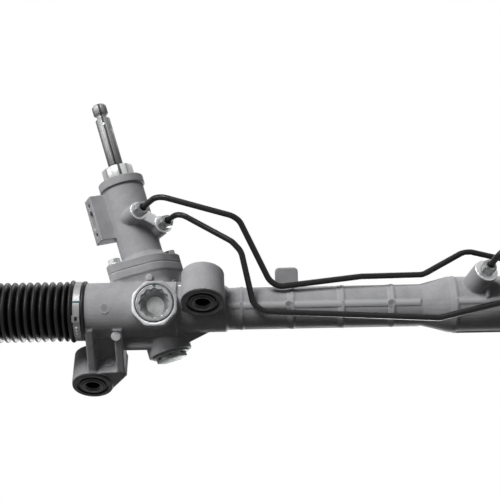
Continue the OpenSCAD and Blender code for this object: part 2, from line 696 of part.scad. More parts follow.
module input_shaft() {
    spline_z = shaft_top - 29.5;
    groove_z = shaft_top - 16;
    step_z = collar_z0 - 8;
    seat_z = collar_z0 + neck_collar_h;
    color(bright) rack_frame() pinion_frame() difference() {
        union() {
            intersection() {
                translate([0, 0, sleeve_z0 - 10.5]) cylinder(d = 16, h = 12);
                translate([-6.5, -9, sleeve_z0 - 11]) cube([13, 18, 13]);
            }
            translate([0, 0, sleeve_z0 + 0.5]) cylinder(d = valve_stem_d, h = sleeve_len);
            translate([0, 0, sleeve_z0 + sleeve_len])
                cylinder(d = needle_id, h = step_z - sleeve_z0 - sleeve_len);
            translate([0, 0, step_z - 1]) cylinder(d = shaft_d + 0.5, h = seat_z - step_z + 1);
            translate([0, 0, seat_z - 0.5]) cylinder(d = shaft_d - 0.6, h = 3);
            translate([0, 0, seat_z + 1.5]) cylinder(d = shaft_d, h = shaft_top - seat_z - 3.5);
            translate([0, 0, shaft_top - 2]) cylinder(d1 = shaft_d, d2 = shaft_d - 3, h = 2);
        }
        // six valve slots, the waist under the splined end, and the bore
        for (i = [0:5]) rotate(i * 60) translate([valve_stem_d / 2, 0, sleeve_z0 + 8])
            cylinder(d = 4, h = 36);
        translate([0, 0, groove_z]) waist(5, shaft_d + 2, 10.8);
        spline_cuts(shaft_top - 11, 12);
        spline_cuts(spline_z, spline_z_len);
        translate([0, 0, sleeve_z0 - 12]) cylinder(d = torsion_head_d, h = torsion_top - sleeve_z0 + 12.2);
        torsion_pin_shape(40);
    }
}
spline_z_len = 13;
spline_n = 24;
module spline_cuts(z, h) {
    for (i = [0:spline_n - 1]) rotate(i * 360 / spline_n) translate([shaft_d / 2 + 0.35, 0, z])
        rotate(45) translate([-0.6, -0.6, 0]) cube([1.2, 1.2, h]);
}
module waist(h, d_outer, d_waist) {
    rotate_extrude() polygon([[d_waist / 2, 0.8], [d_waist / 2, h - 0.8], [d_outer / 2, h + 1.6],
        [d_outer / 2, -1.6]]);
}
module torsion_bar() {
    z0 = pinion_face / 2 + 7;
    head_h = 14;
    color(steel) rack_frame() pinion_frame() difference() {
        union() {
            translate([0, 0, z0]) cylinder(d = torsion_d, h = torsion_top - z0 - 1);
            translate([0, 0, torsion_top - head_h]) cylinder(d = torsion_head_d, h = head_h);
        }
        torsion_pin_shape(40);
    }
}
module torsion_pin_shape(len) {
    translate([0, 0, torsion_pin_z]) rotate([90, 0, 0]) cylinder(d = torsion_pin_d, h = len, center = true);
}
module torsion_pin() { color(bright) rack_frame() pinion_frame() torsion_pin_shape(shaft_d - 1); }

module rack_bar() {
    tooth_n = 26;
    color(bright) rack_frame() difference() {
        along_x(-rack_left) cylinder(d = rack_d, h = rack_left + rack_right);
        mesh_frame() {
            translate([-tooth_n / 2 * rack_pitch_x, rack_tip_y, -20]) cube([tooth_n * rack_pitch_x, 10, 40]);
            for (i = [-(tooth_n - 1) / 2:(tooth_n - 1) / 2])
                translate([(i + 0.5 - 0.5 * (tooth_n % 2)) * rack_pitch_x, rack_pitch_y, 0])
                rotate([0, -pinion_lean, 0]) translate([0, 0, -22]) linear_extrude(44) slot_profile();
        }
        // threaded holes for the ball sockets
        along_x(-rack_left - 1) cylinder(d = 14, h = 26);
        along_x(rack_right - 25) cylinder(d = 14, h = 26);
    }
}
module piston() {
    color(steel) rack_frame() along_x(piston_x - piston_w / 2) difference() {
        cylinder(d = cylinder_bore_d - 1, h = piston_w);
        translate([0, 0, -1]) cylinder(d = rack_d, h = piston_w + 2);
        translate([0, 0, piston_w / 2 - 2]) ring_cut(cylinder_bore_d + 2, cylinder_bore_d - 6, 4);
    }
}
module ring_cut(d_outer, d_inner, h) {
    difference() {
        cylinder(d = d_outer, h = h);
        translate([0, 0, -1]) cylinder(d = d_inner, h = h + 2);
    }
}
module piston_ring() {
    color(nylon) rack_frame() along_x(piston_x - 2)
        ring_cut(cylinder_bore_d - 2 * slide_fit, cylinder_bore_d - 6, 4);
}
module rack_seal() {
    color(rubber) rack_frame() along_x(chamber_x0 - rack_seal_w)
        ring_cut(rack_seal_d, rack_d + 2 * slide_fit, rack_seal_w - 2);
}
module rack_bulkhead() {
    color(bright) rack_frame() difference() {
        union() {
            along_x(chamber_x1) cylinder(d = cylinder_bore_d, h = bulkhead_len);
            along_x(chamber_x1 + bulkhead_len - 1) cylinder(d = socket_d + 1, h = bulkhead_nose + 1);
        }
        along_x(chamber_x1 - 1) cylinder(d = rack_d + 2 * slide_fit, h = bulkhead_len + bulkhead_nose + 2);
        along_x(chamber_x1 - 1) cylinder(d = 35, h = 9);
        along_x(chamber_x1 + 14) ring_cut(cylinder_bore_d + 2, cylinder_bore_d - 5, 3);
    }
}
module bulkhead_seal() {
    color(rubber) rack_frame() {
        along_x(chamber_x1) ring_cut(35, rack_d + 2 * slide_fit, 8);
        along_x(chamber_x1 + 14.2) ring_cut(cylinder_bore_d, cylinder_bore_d - 5, 2.6);
    }
}
module bulkhead_ring() {
    color(steel) rack_frame() along_x(chamber_x1 + bulkhead_len)
        ring_cut(cylinder_bore_d, socket_d + 1.6, 2.4);
}

module rack_yoke() {
    color(cast_grey) rack_frame() difference() {
        yoke_frame() difference() {
            translate([0, 0, yoke_z0]) cylinder(d = yoke_d, h = yoke_z1 - yoke_z0);
            translate([0, 0, spring_pocket_z]) cylinder(r = spring_pocket_r, h = 30);
            translate([0, 0, yoke_z1 - 5]) ring_cut(yoke_d + 2, yoke_d - 4.6, 2.6);
        }
        along_x(-30) cylinder(r = yoke_seat_r, h = 60);
    }
}
module yoke_liner() {
    w = 24;
    color(nylon) rack_frame() intersection() {
        along_x(-w / 2) ring_cut(2 * yoke_seat_r, rack_d + 2 * turn_fit, w);
        yoke_frame() translate([-w / 2, -15, yoke_z0 + 1]) cube([w, 30, 20]);
    }
}
module yoke_seal() {
    color(rubber) rack_frame() yoke_frame() translate([0, 0, yoke_z1 - 4.9])
        ring_cut(yoke_d, yoke_d - 4.6, 2.4);
}
// Coil points of the yoke spring, swept with a round section
spring_z0 = spring_pocket_z + spring_wire / 2;
spring_z1 = plug_z0 - spring_wire / 2;
spring_r = spring_pocket_r - 0.4 - spring_wire / 2;
spring_steps = 16;
spring_sides = 8;
function spring_pt(i) = let(t = i / (spring_steps * spring_turns))
    [spring_r * cos(360 * spring_turns * t), spring_r * sin(360 * spring_turns * t),
        spring_z0 + (spring_z1 - spring_z0) * t];
module yoke_spring() {
    n = spring_steps * spring_turns;
    pts = [for (i = [0:n]) let(c = spring_pt(i), out = unit([c[0], c[1], 0]))
        for (k = [0:spring_sides - 1]) let(a = 360 * k / spring_sides)
            c + spring_wire / 2 * (cos(a) * out + sin(a) * [0, 0, 1])];
    faces = concat(
        [for (i = [0:n - 1]) for (k = [0:spring_sides - 1]) let(m = (k + 1) % spring_sides)
            [i * spring_sides + k, i * spring_sides + m, (i + 1) * spring_sides + m,
                (i + 1) * spring_sides + k]],
        [[for (k = [spring_sides - 1:-1:0]) k]],
        [[for (k = [0:spring_sides - 1]) n * spring_sides + k]]);
    color(steel) rack_frame() yoke_frame() polyhedron(pts, faces);
}
module yoke_plug() {
    point_r = 15.3;
    color(zinc) rack_frame() yoke_frame() difference() {
        translate([0, 0, plug_z0]) cylinder(d = plug_d, h = yoke_face + 0.6 - plug_z0);
        // recess with twelve points
        translate([0, 0, plug_z0 + plug_floor]) {
            cylinder(r = point_r - 1, h = 30);
            for (i = [0:11]) rotate(i * 30) translate([point_r - 1, 0, 0]) cylinder(d = 4, h = 30);
        }
        translate([0, 0, plug_z0 + plug_floor - 1]) cylinder(d = 16, h = 3);
    }
}

// Rubber bush with a lip under the boss, and its steel inner sleeve
bush_lip = 2;
module bush_rubber(h) {
    difference() {
        union() {
            cylinder(d = boss_bore_d, h = h);
            translate([0, 0, -bush_lip]) cylinder(d = boss_d - 1, h = bush_lip);
        }
        translate([0, 0, -bush_lip - 1]) cylinder(d = sleeve_d, h = h + bush_lip + 2);
        // moulded groove round the sleeve
        translate([0, 0, -bush_lip - 1]) ring_cut(boss_bore_d - 4, sleeve_d + 5, 3.5);
    }
}
module bush_sleeve(h) {
    translate([0, 0, -bush_lip - 0.5]) difference() {
        cylinder(d = sleeve_d, h = h + bush_lip + 1);
        translate([0, 0, -1]) cylinder(d = bolt_bore_d, h = h + bush_lip + 4);
        translate([0, 0, -0.01]) cylinder(d1 = bolt_bore_d + 4, d2 = bolt_bore_d, h = 2);
    }
}
module at_front() { rack_frame() translate([front_x, -front_f, -front_drop]) children(); }
module at_rear() { rack_frame() translate([rear_x, rear_b, -rear_drop]) children(); }
module front_bush_rubber() { color(rubber) at_front() bush_rubber(front_boss_h); }
module front_bush_sleeve() { color(black_paint) at_front() bush_sleeve(front_boss_h); }
module rear_bush_rubber() { color(rubber) at_rear() bush_rubber(rear_boss_h); }
module rear_bush_sleeve() { color(black_paint) at_rear() bush_sleeve(rear_boss_h); }

module transfer_line_a() {
    color(black_paint) rack_frame() difference() {
        bent_line(line_a, line_d);
        line_mouths(line_a);
    }
}
module transfer_line_b() {
    color(black_paint) rack_frame() difference() {
        bent_line(line_b, line_d);
        line_mouths(line_b);
    }
}
module line_mouths(points) {
    n = len(points) - 1;
    toward(points[0] - along(points[0], points[1]), along(points[0], points[1]))
        cylinder(d = line_d - 2, h = 25);
    toward(points[n] - along(points[n], points[n - 1]), along(points[n], points[n - 1]))
        cylinder(d = line_d - 2, h = 15);
}
module line_nut(start, dir) {
    toward(start, dir) difference() {
        union() {
            translate([0, 0, -8.5]) cylinder(d = nut_hex - 1.5, h = 9);
            cylinder(d = nut_hex / cos(30), h = nut_len, $fn = 6);
        }
        translate([0, 0, -10]) cylinder(d = line_d + 0.1, h = 30);
    }
}
module line_nuts() {
    color(zinc) rack_frame() {
        for (p = ports) line_nut(port_point(p, 0), port_point(p, 1) - port_point(p, 0));
        line_nut(from_view(port1_face), from_view(port1_dir));
        line_nut(from_view(port2_face), from_view(port2_dir));
    }
}

// Bellows along the tie rod: cuff, full convolutions, then smaller ones to the rod
taper_n = 5;
cuff_len = neck_len;
cuff_wall = bellows_wall + 1;
cuff_lip = 1.9;
cuff_r = neck_d / 2 + cuff_wall;
tail_r = rod_d / 2 + air + bellows_wall;
tail_len = 11;
bellows_inner_d = bellows_d - 15;
smallest_r = rod_d / 2 + bellows_wall + 3;
taper_step = (bellows_d / 2 - smallest_r) / (taper_n + 1);
function ridge_r(i) = bellows_d / 2 - max(0, i - bellows_full + 1) * taper_step;
function valley_r(i) = max(smallest_r - 2, bellows_inner_d / 2 - max(0, i - bellows_full) * taper_step);
bellows_n = bellows_full + taper_n;
bellows_start = cuff_len - 1.5;
bellows_end = bellows_start + bellows_n * bellows_pitch;
function fold_z(i) = bellows_start + i * bellows_pitch;
function fold_ridge(i, wall) = [[ridge_r(i) - wall, fold_z(i + 0.35)], [ridge_r(i) - wall, fold_z(i + 0.6)]];
function bellows_line(cuff, lip, wall, tail) = concat(
    [[cuff + lip, 0.5], [cuff + lip, 5], [cuff, 6.5], [cuff, cuff_len]],
    fold_ridge(0, wall),
    [for (i = [1:bellows_n - 1]) each concat([[valley_r(i) - wall, fold_z(i)]], fold_ridge(i, wall))],
    [[tail, bellows_end], [tail, bellows_end + tail_len]]);
function flip(v) = [for (i = [len(v) - 1:-1:0]) v[i]];
module bellows_shape() {
    rotate_extrude() polygon(concat(
        bellows_line(cuff_r, cuff_lip, 0, tail_r),
        flip(bellows_line(neck_d / 2, 0, bellows_wall, tail_r - bellows_wall))));
}
module left_end() { rack_frame() translate([-barrel_left - 1, 0, 0]) rotate([0, -90, 0]) children(); }
module right_end() { rack_frame() translate([cylinder_x1 + 1, 0, 0]) rotate([0, 90, 0]) children(); }
module bellows_left() { color(rubber) left_end() bellows_shape(); }
module bellows_right() { color(rubber) right_end() bellows_shape(); }

// Band clamp with its crimped ear
clamp_w = 7.5;
crimp_w = 7.5;
module band_clamp() {
    band_t = 0.9;
    translate([0, 0, 7]) {
        ring_cut(2 * (cuff_r + band_t), 2 * cuff_r + slide_fit, clamp_w);
        translate([cuff_r + 0.2, -crimp_w / 2, -0.2]) cube([2, crimp_w, clamp_w + 0.4]);
    }
}
module bellows_clamp_left() { color(steel) left_end() rotate(222) band_clamp(); }
module bellows_clamp_right() { color(steel) right_end() rotate(70) band_clamp(); }
module rod_clip() {
    translate([0, 0, bellows_end + 2]) {
        ring_cut(2 * tail_r + 2.4, 2 * tail_r, clip_w);
        for (a = [-18, 18]) rotate(a) translate([tail_r + 0.6, -1, 0]) cube([5, 2, clip_w]);
    }
}
module rod_clip_left() { color(steel) left_end() rod_clip(); }
module rod_clip_right() { color(steel) right_end() rod_clip(); }

// Ball joint at each rack end, drawn outwards from the rack's end face
module left_ball() { rack_frame() translate([-rack_left, 0, 0]) rotate([0, -90, 0]) children(); }
module right_ball() { rack_frame() translate([rack_right, 0, 0]) rotate([0, 90, 0]) children(); }
module ball_socket() {
    difference() {
        union() {
            translate([0, 0, -20]) cylinder(d = 14, h = 21);
            cylinder(d = socket_d, h = socket_len - 8);
            translate([0, 0, socket_len - 8]) cylinder(d1 = socket_d, d2 = socket_d - 6, h = 8);
        }
        translate([0, 0, ball_in]) sphere(d = ball_d + 2 * seat_t);
        translate([0, 0, ball_in]) cylinder(d = 20, h = 30);
        translate([0, 0, ball_in + 8]) cylinder(d1 = 18, d2 = 34, h = socket_len - ball_in - 7.9);
        // two flats for a spanner
        for (s = [-1, 1]) translate([s * (socket_d / 2 + 3.6), 0, 6]) cube([10, 40, 8], center = true);
    }
}
module ball_seat() {
    difference() {
        translate([0, 0, ball_in]) sphere(d = ball_d + 2 * seat_t);
        translate([0, 0, ball_in]) sphere(d = ball_d + 2 * turn_fit);
        translate([-20, -20, ball_in + 6.5]) cube([40, 40, 40]);
    }
}
thread_len = 70;
thread_d = rod_d - 1.2;
nut_seat_d = rod_d - 1;
nut_h = 8;
nut_out = 40;
module tie_rod() {
    seat_end = rod_len - nut_out + 1;
    translate([0, 0, ball_in]) {
        intersection() {
            sphere(d = ball_d);
            translate([-20, -20, -11.5]) cube([40, 40, 60]);
        }
        translate([0, 0, 8]) cylinder(d = 12.5, h = 22);
        translate([0, 0, 26]) cylinder(d1 = 12.5, d2 = rod_d, h = 8);
        translate([0, 0, 33]) cylinder(d = rod_d, h = rod_len - 33 - thread_len);
        translate([0, 0, rod_len - thread_len - 16]) cylinder(d = 16, h = 12, $fn = 6);
        // thread under the nut, its relief, and the thread for the outer joint
        translate([0, 0, rod_len - thread_len]) cylinder(d = nut_seat_d, h = thread_len - nut_out + 1);
        translate([0, 0, seat_end - 0.5]) cylinder(d = rod_d - 2.4, h = 3);
        translate([0, 0, seat_end + 1.5]) cylinder(d = thread_d, h = rod_len - 1.5 - seat_end - 1.5);
        translate([0, 0, rod_len - 1.5]) cylinder(d1 = thread_d, d2 = rod_d - 4, h = 1.5);
    }
}
module jam_nut() {
    translate([0, 0, ball_in + rod_len - nut_out - nut_h]) difference() {
        cylinder(d = 22 / cos(30), h = nut_h, $fn = 6);
        translate([0, 0, -1]) cylinder(d = nut_seat_d, h = nut_h + 2);
    }
}
module ball_socket_left() { color(steel) left_ball() ball_socket(); }
module ball_socket_right() { color(steel) right_ball() ball_socket(); }
module ball_seat_left() { color(nylon) left_ball() ball_seat(); }
module ball_seat_right() { color(nylon) right_ball() ball_seat(); }
module tie_rod_left() { color(black_paint) left_ball() tie_rod(); }
module tie_rod_right() { color(black_paint) right_ball() tie_rod(); }
module jam_nut_left() { color(zinc) left_ball() jam_nut(); }
module jam_nut_right() { color(zinc) right_ball() jam_nut(); }

gear_housing();
gallery_plug();
valve_housing();
housing_seal();
housing_bolts();
neck_collar();
input_seal();
seal_circlip();
upper_valve_bearing();
upper_pinion_bush();
lower_bearing_outer();
lower_bearing_balls();
lower_bearing_inner();
pinion_nut();
lower_plug();
pinion();
valve_sleeve();
sleeve_rings();
sleeve_pin();
input_shaft();
torsion_bar();
torsion_pin();
rack_bar();
piston();
piston_ring();
rack_seal();
rack_bulkhead();
bulkhead_seal();
bulkhead_ring();
rack_yoke();
yoke_liner();
yoke_seal();
yoke_spring();
yoke_plug();
front_bush_rubber();
front_bush_sleeve();
rear_bush_rubber();
rear_bush_sleeve();
transfer_line_a();
transfer_line_b();
line_nuts();
bellows_left();
bellows_right();
bellows_clamp_left();
bellows_clamp_right();
rod_clip_left();
rod_clip_right();
ball_socket_left();
ball_socket_right();
ball_seat_left();
ball_seat_right();
tie_rod_left();
tie_rod_right();
jam_nut_left();
jam_nut_right();
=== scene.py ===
"""Looks of a hydraulic rack-and-pinion steering gear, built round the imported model."""
import json
import math

import bmesh
import bpy
import numpy as np
from mathutils import Matrix, Vector


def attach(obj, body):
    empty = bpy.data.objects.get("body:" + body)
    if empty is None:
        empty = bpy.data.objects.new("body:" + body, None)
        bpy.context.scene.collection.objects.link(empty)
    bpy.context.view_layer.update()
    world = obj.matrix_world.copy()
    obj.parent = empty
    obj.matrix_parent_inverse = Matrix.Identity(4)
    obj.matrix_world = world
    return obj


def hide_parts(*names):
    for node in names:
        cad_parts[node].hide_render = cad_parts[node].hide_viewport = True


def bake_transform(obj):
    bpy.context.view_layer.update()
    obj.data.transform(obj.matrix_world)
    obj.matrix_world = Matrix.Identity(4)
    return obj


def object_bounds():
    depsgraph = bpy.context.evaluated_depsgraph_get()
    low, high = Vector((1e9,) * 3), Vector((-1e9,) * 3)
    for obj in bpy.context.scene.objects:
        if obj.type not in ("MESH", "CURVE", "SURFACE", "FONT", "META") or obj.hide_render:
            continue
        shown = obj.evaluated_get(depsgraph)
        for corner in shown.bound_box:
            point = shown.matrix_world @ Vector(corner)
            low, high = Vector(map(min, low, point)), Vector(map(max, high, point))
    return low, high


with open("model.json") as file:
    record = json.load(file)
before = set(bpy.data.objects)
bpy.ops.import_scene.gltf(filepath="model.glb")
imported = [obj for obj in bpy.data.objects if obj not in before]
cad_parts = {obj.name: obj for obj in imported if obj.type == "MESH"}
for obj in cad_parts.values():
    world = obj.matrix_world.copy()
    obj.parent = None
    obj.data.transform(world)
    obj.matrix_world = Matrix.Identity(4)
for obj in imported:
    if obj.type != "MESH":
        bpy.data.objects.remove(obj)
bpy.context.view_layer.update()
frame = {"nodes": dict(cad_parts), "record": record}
NODES = frame["nodes"]
RECORD = frame["record"]

MM = 0.001

# Sizes and angles repeated from the part's source, in millimetres and degrees
CROSSING = (-47.0, 40.0, 20.0)
TILT = 25
LEAN = 16
CENTRE_Y = 16.26
VIEW_TILT = 39
BARREL_LEFT = 71
NECK_LEN = 15
NECK_D = 52
CYLINDER_X1 = 540
BALL_LEFT = -179
BALL_RIGHT = 645
ROD_D = 14
ROD_LEN = 262
THREAD_LEN = 70
PART_PLANE = 47.5
FLANGE_T = 8.5
SHAFT_D = 15.5
YOKE_FACE = 36
YOKE_BOSS_D = 45
PLUG_PROUD = 0.6
PORT_REACH = 33
PORT_TURN = 55
PORTS = ((-10, 100), (14.3, 83.2))
EARS = ((-28, -18), (27, 14), (-18, 27))
NUT_HEX = 12
NUT_LEN = 9
LINE_D = 6
LINE_BEND = 18
PORT1_FACE, PORT1_DIR = (322.3, 34.5, 36), (0.29, 0.57, 0.77)
PORT2_FACE, PORT2_DIR = (500, 31.5, 24.5), (0, 0.79, 0.61)
CYLINDER_PORTS = ((PORT1_FACE, PORT1_DIR), (PORT2_FACE, PORT2_DIR))
BELLOWS_D = 60
BELLOWS_PITCH = 7.5
BELLOWS_FULL = 19
BELLOWS_TAPER = 5
BELLOWS_WALL = 1.6
CUFF_R = NECK_D / 2 + BELLOWS_WALL + 1
BARREL_D = 56
TUBE_D = 41.5
TUBE_X1 = 262.5
CYLINDER_D = 55
CYLINDER_X0 = 288.5
RING_X = (69, 84.3, 134.8, 184.3, 233.9)
TAIL_LEN = 11
AIR = 0.4

# Sizes, angles and counts of what this script shapes by itself, in millimetres and degrees
MILLED_DEPTH = 0.9
TOWER_PORT_FACE_R = 10.5
CYLINDER_PORT_FACE_R = 12.5
WEB_HALF_WIDTH = 6.2
SOFTEN_ROUNDS = 3
RING_HEIGHT = 0.55
RING_HALF_WIDTH = 0.9
SHELF_HEIGHT = 0.25
SHELF_WIDTH = 5.5
CYLINDER_RING_X = (CYLINDER_X0 + 6.2, CYLINDER_X1 - 6.8)
LAND_HEIGHT = 0.45
BARREL_MARK = (-49.3, 3.6, BARREL_D / 2 - 0.3)
TUBE_MARKS = ((130.5, 4.2, 3.5), (231.5, 3.6, 3.7))
FOOT_MARK = (-49.6, 37.2, -37.2)
FOLD_DEPTH = 7.5
BELLOWS_SKIN = 1.0
SPLIT_VALLEY = 17
NUT_GAP = 0.9
BOLT_HEX = 12.1
PLUG_TOP = YOKE_FACE + PLUG_PROUD
PLUG_RIM_R = 18.3
PLUG_HEIGHT = 18
PLUG_PAINT = (86, 95)
STAR_ROOT_R = 13.5
STAR_REACH = 1.6
STAR_DEPTH = 5
SOCKET_FLOOR_R = 8.5
SOCKET_DEPTH = 11.9
CLAMP_Z0, CLAMP_Z1 = 1.7, 8.8
CLAMP_EAR = (213.5, 227)
CLAMP_PIPS = (200.5, 194, 186.5)
CLAMP_PAINT = (250.6, 254.2)


def turn(axis, degrees):
    return Matrix.Rotation(math.radians(degrees), 4, axis)


def move(x, y, z):
    return Matrix.Translation((x, y, z))


RACK = move(*CROSSING)
MESH = RACK @ turn("X", TILT)
PINION = MESH @ move(0, CENTRE_Y, 0) @ turn("Y", -LEAN)
YOKE = MESH @ turn("X", 90)
SLANT = RACK @ turn("X", VIEW_TILT)
LEFT_END = RACK @ move(-BARREL_LEFT - 1, 0, 0) @ turn("Y", -90)
RIGHT_END = RACK @ move(CYLINDER_X1 + 1, 0, 0) @ turn("Y", 90)
LEFT_BALL = RACK @ move(BALL_LEFT, 0, 0) @ turn("Y", -90)
RIGHT_BALL = RACK @ move(BALL_RIGHT, 0, 0) @ turn("Y", 90)


def from_slant(p):
    """A point given along, up and forward in the slanted frame, as millimetres in the part's frame."""
    return SLANT @ Vector((p[0], -p[2], p[1]))


def slant_dir(d):
    return (SLANT.to_3x3() @ Vector((d[0], -d[2], d[1]))).normalized()


def toward(p, d):
    """Frame at p whose Z runs along d."""
    return Matrix.Translation(p) @ Vector(d).to_track_quat("Z", "Y").to_matrix().to_4x4()


def port_frame(p):
    return PINION @ move(0, 0, p[1]) @ turn("Z", -PORT_TURN) @ move(0, p[0], 0) @ turn("Y", 90)


# Materials

def new_material(name):
    mat = bpy.data.materials.new(name)
    mat.use_nodes = True
    tree = mat.node_tree
    tree.nodes.clear()
    out = tree.nodes.new("ShaderNodeOutputMaterial")
    shader = tree.nodes.new("ShaderNodeBsdfPrincipled")
    tree.links.new(shader.outputs["BSDF"], out.inputs["Surface"])
    coord = tree.nodes.new("ShaderNodeTexCoord")
    return mat, tree, shader, coord.outputs["Object"]


def noise(tree, coord, size_mm, detail, rough=0.55):
    """Noise whose features are about size_mm across."""
    n = tree.nodes.new("ShaderNodeTexNoise")
    n.inputs["Scale"].default_value = 1000.0 / size_mm
    n.inputs["Detail"].default_value = detail
    n.inputs["Roughness"].default_value = rough
    tree.links.new(coord, n.inputs["Vector"])
    return n.outputs["Fac"]


def remap(tree, value, lo, hi, out_lo, out_hi):
    n = tree.nodes.new("ShaderNodeMapRange")
    n.interpolation_type = "SMOOTHSTEP"
    for socket, v in zip(n.inputs[1:5], (lo, hi, out_lo, out_hi)):
        socket.default_value = v
    tree.links.new(value, n.inputs["Value"])
    return n.outputs["Result"]


def mix_color(tree, fac, a, b):
    """Mix of two colours, each a triple or a socket."""
    n = tree.nodes.new("ShaderNodeMix")
    n.data_type = "RGBA"
    for key, v in (("A", a), ("B", b)):
        socket = [s for s in n.inputs if s.name == key and s.type == "RGBA"][0]
        if isinstance(v, tuple):
            socket.default_value = (*v, 1)
        else:
            tree.links.new(v, socket)
    tree.links.new(fac, n.inputs["Factor"])
    return [s for s in n.outputs if s.type == "RGBA"][0]


def math_node(tree, op, a, b):
    n = tree.nodes.new("ShaderNodeMath")
    n.operation = op
    for socket, v in zip(n.inputs, (a, b)):
        if isinstance(v, (int, float)):
            socket.default_value = v
        else:
            tree.links.new(v, socket)
    return n.outputs[0]


def bump(tree, shader, height, depth_mm, strength):
    n = tree.nodes.new("ShaderNodeBump")
    n.inputs["Strength"].default_value = strength
    n.inputs["Distance"].default_value = depth_mm * MM
    tree.links.new(height, n.inputs["Height"])
    tree.links.new(n.outputs["Normal"], shader.inputs["Normal"])


def attribute(tree, name):
    n = tree.nodes.new("ShaderNodeAttribute")
    n.attribute_name = name
    return n.outputs["Fac"]


def cast_material():
    """Die-cast aluminium: mottled grey skin with painted highlights on its convex edges and painted shade in
    its creases, and bright milled faces where the mesh says so.
    """
    mat, tree, shader, co = new_material("cast_aluminium_skin")
    skin_dark = (0.335, 0.334, 0.346)
    skin_light = (0.4, 0.399, 0.413)
    speck_tone = (0.2, 0.202, 0.208)
    edge_painted_highlight_tone = (0.56, 0.562, 0.568)
    crease_painted_shade_tone = (0.13, 0.131, 0.135)
    milled_dark = (0.56, 0.565, 0.575)
    milled_light = (0.66, 0.665, 0.675)
    clouds = remap(tree, noise(tree, co, 16, 5, 0.6), 0.3, 0.7, 0, 1)
    speck = remap(tree, noise(tree, co, 1.3, 2, 0.7), 0.3, 0.7, 0, 1)
    skin = mix_color(tree, clouds, skin_dark, skin_light)
    skin = mix_color(tree, math_node(tree, "MULTIPLY", speck, 0.25), skin, speck_tone)
    # Painted highlight on convex edges and painted shade in creases, both from the mesh's pointiness
    point = tree.nodes.new("ShaderNodeNewGeometry").outputs["Pointiness"]
    skin = mix_color(tree, remap(tree, point, 0.5, 0.6, 0, 0.7), skin, edge_painted_highlight_tone)
    skin = mix_color(tree, remap(tree, point, 0.49, 0.4, 0, 0.75), skin, crease_painted_shade_tone)
    cuts = noise(tree, co, 1.2, 2, 0.5)
    milled = mix_color(tree, cuts, milled_dark, milled_light)
    # Milled faces; on the yoke boss face this mask also holds a painted reflection
    mask = attribute(tree, "milled")
    tree.links.new(mix_color(tree, mask, skin, milled), shader.inputs["Base Color"])
    tree.links.new(remap(tree, mask, 0, 1, 0, 0.75), shader.inputs["Metallic"])
    shader.inputs["Specular IOR Level"].default_value = 0.14
    tree.links.new(remap(tree, mask, 0, 1, 0.6, 0.35), shader.inputs["Roughness"])
    grain = math_node(tree, "MULTIPLY", speck, math_node(tree, "SUBTRACT", 1.0, mask))
    bump(tree, shader, grain, 0.09, 0.8)
    return mat


def metal_material(name, dark, light, size, metallic, rough_lo, rough_hi, shine=0.5):
    mat, tree, shader, co = new_material(name)
    tone = remap(tree, noise(tree, co, size, 3, 0.6), 0.3, 0.7, 0, 1)
    tree.links.new(mix_color(tree, tone, dark, light), shader.inputs["Base Color"])
    fine = noise(tree, co, size / 5, 2, 0.6)
    tree.links.new(remap(tree, fine, 0.3, 0.7, rough_lo, rough_hi), shader.inputs["Roughness"])
    shader.inputs["Metallic"].default_value = metallic
    shader.inputs["Specular IOR Level"].default_value = shine
    bump(tree, shader, fine, 0.02, 0.5)
    return mat


def painted_reflection_material(name, frame_matrix, half_width, stops, rough, metallic):
    """Turned metal with painted reflections: tones that run along its axis and change across one fixed
    direction. Each stop is a place across it and a tone.
    """
    mat, tree, shader, co = new_material(name)
    mapping = tree.nodes.new("ShaderNodeMapping")
    mapping.vector_type = "TEXTURE"
    mapping.inputs["Location"].default_value = frame_matrix.translation * MM
    mapping.inputs["Rotation"].default_value = frame_matrix.to_euler()
    tree.links.new(co, mapping.inputs["Vector"])
    axes = tree.nodes.new("ShaderNodeSeparateXYZ")
    tree.links.new(mapping.outputs["Vector"], axes.inputs["Vector"])
    across = remap(tree, axes.outputs["X"], -half_width * MM, half_width * MM, 0, 1)
    across.node.interpolation_type = "LINEAR"
    centred = math_node(tree, "SUBTRACT", noise(tree, co, 12, 2), 0.5)
    wobble = math_node(tree, "MULTIPLY", centred, 0.05)
    ramp = tree.nodes.new("ShaderNodeValToRGB")
    while len(ramp.color_ramp.elements) < len(stops):
        ramp.color_ramp.elements.new(0.5)
    for element, (place, tone) in zip(ramp.color_ramp.elements, stops):
        element.position = place
        element.color = (tone, tone * 1.005, tone * 1.01, 1)
    tree.links.new(math_node(tree, "ADD", across, wobble), ramp.inputs["Fac"])
    tree.links.new(ramp.outputs["Color"], shader.inputs["Base Color"])
    shader.inputs["Roughness"].default_value = rough
    shader.inputs["Metallic"].default_value = metallic
    bump(tree, shader, noise(tree, co, 0.8, 2, 0.5), 0.01, 0.4)
    return mat


def rubber_material(name, dark, light, rough_lo, rough_hi, shine=0.25):
    mat, tree, shader, co = new_material(name)
    dust = remap(tree, noise(tree, co, 9, 4, 0.65), 0.4, 0.75, 0, 1)
    tree.links.new(mix_color(tree, dust, dark, light), shader.inputs["Base Color"])
    fine = noise(tree, co, 0.8, 2, 0.6)
    tree.links.new(remap(tree, dust, 0, 1, rough_lo, rough_hi), shader.inputs["Roughness"])
    shader.inputs["Specular IOR Level"].default_value = shine
    bump(tree, shader, fine, 0.03, 0.6)
    return mat


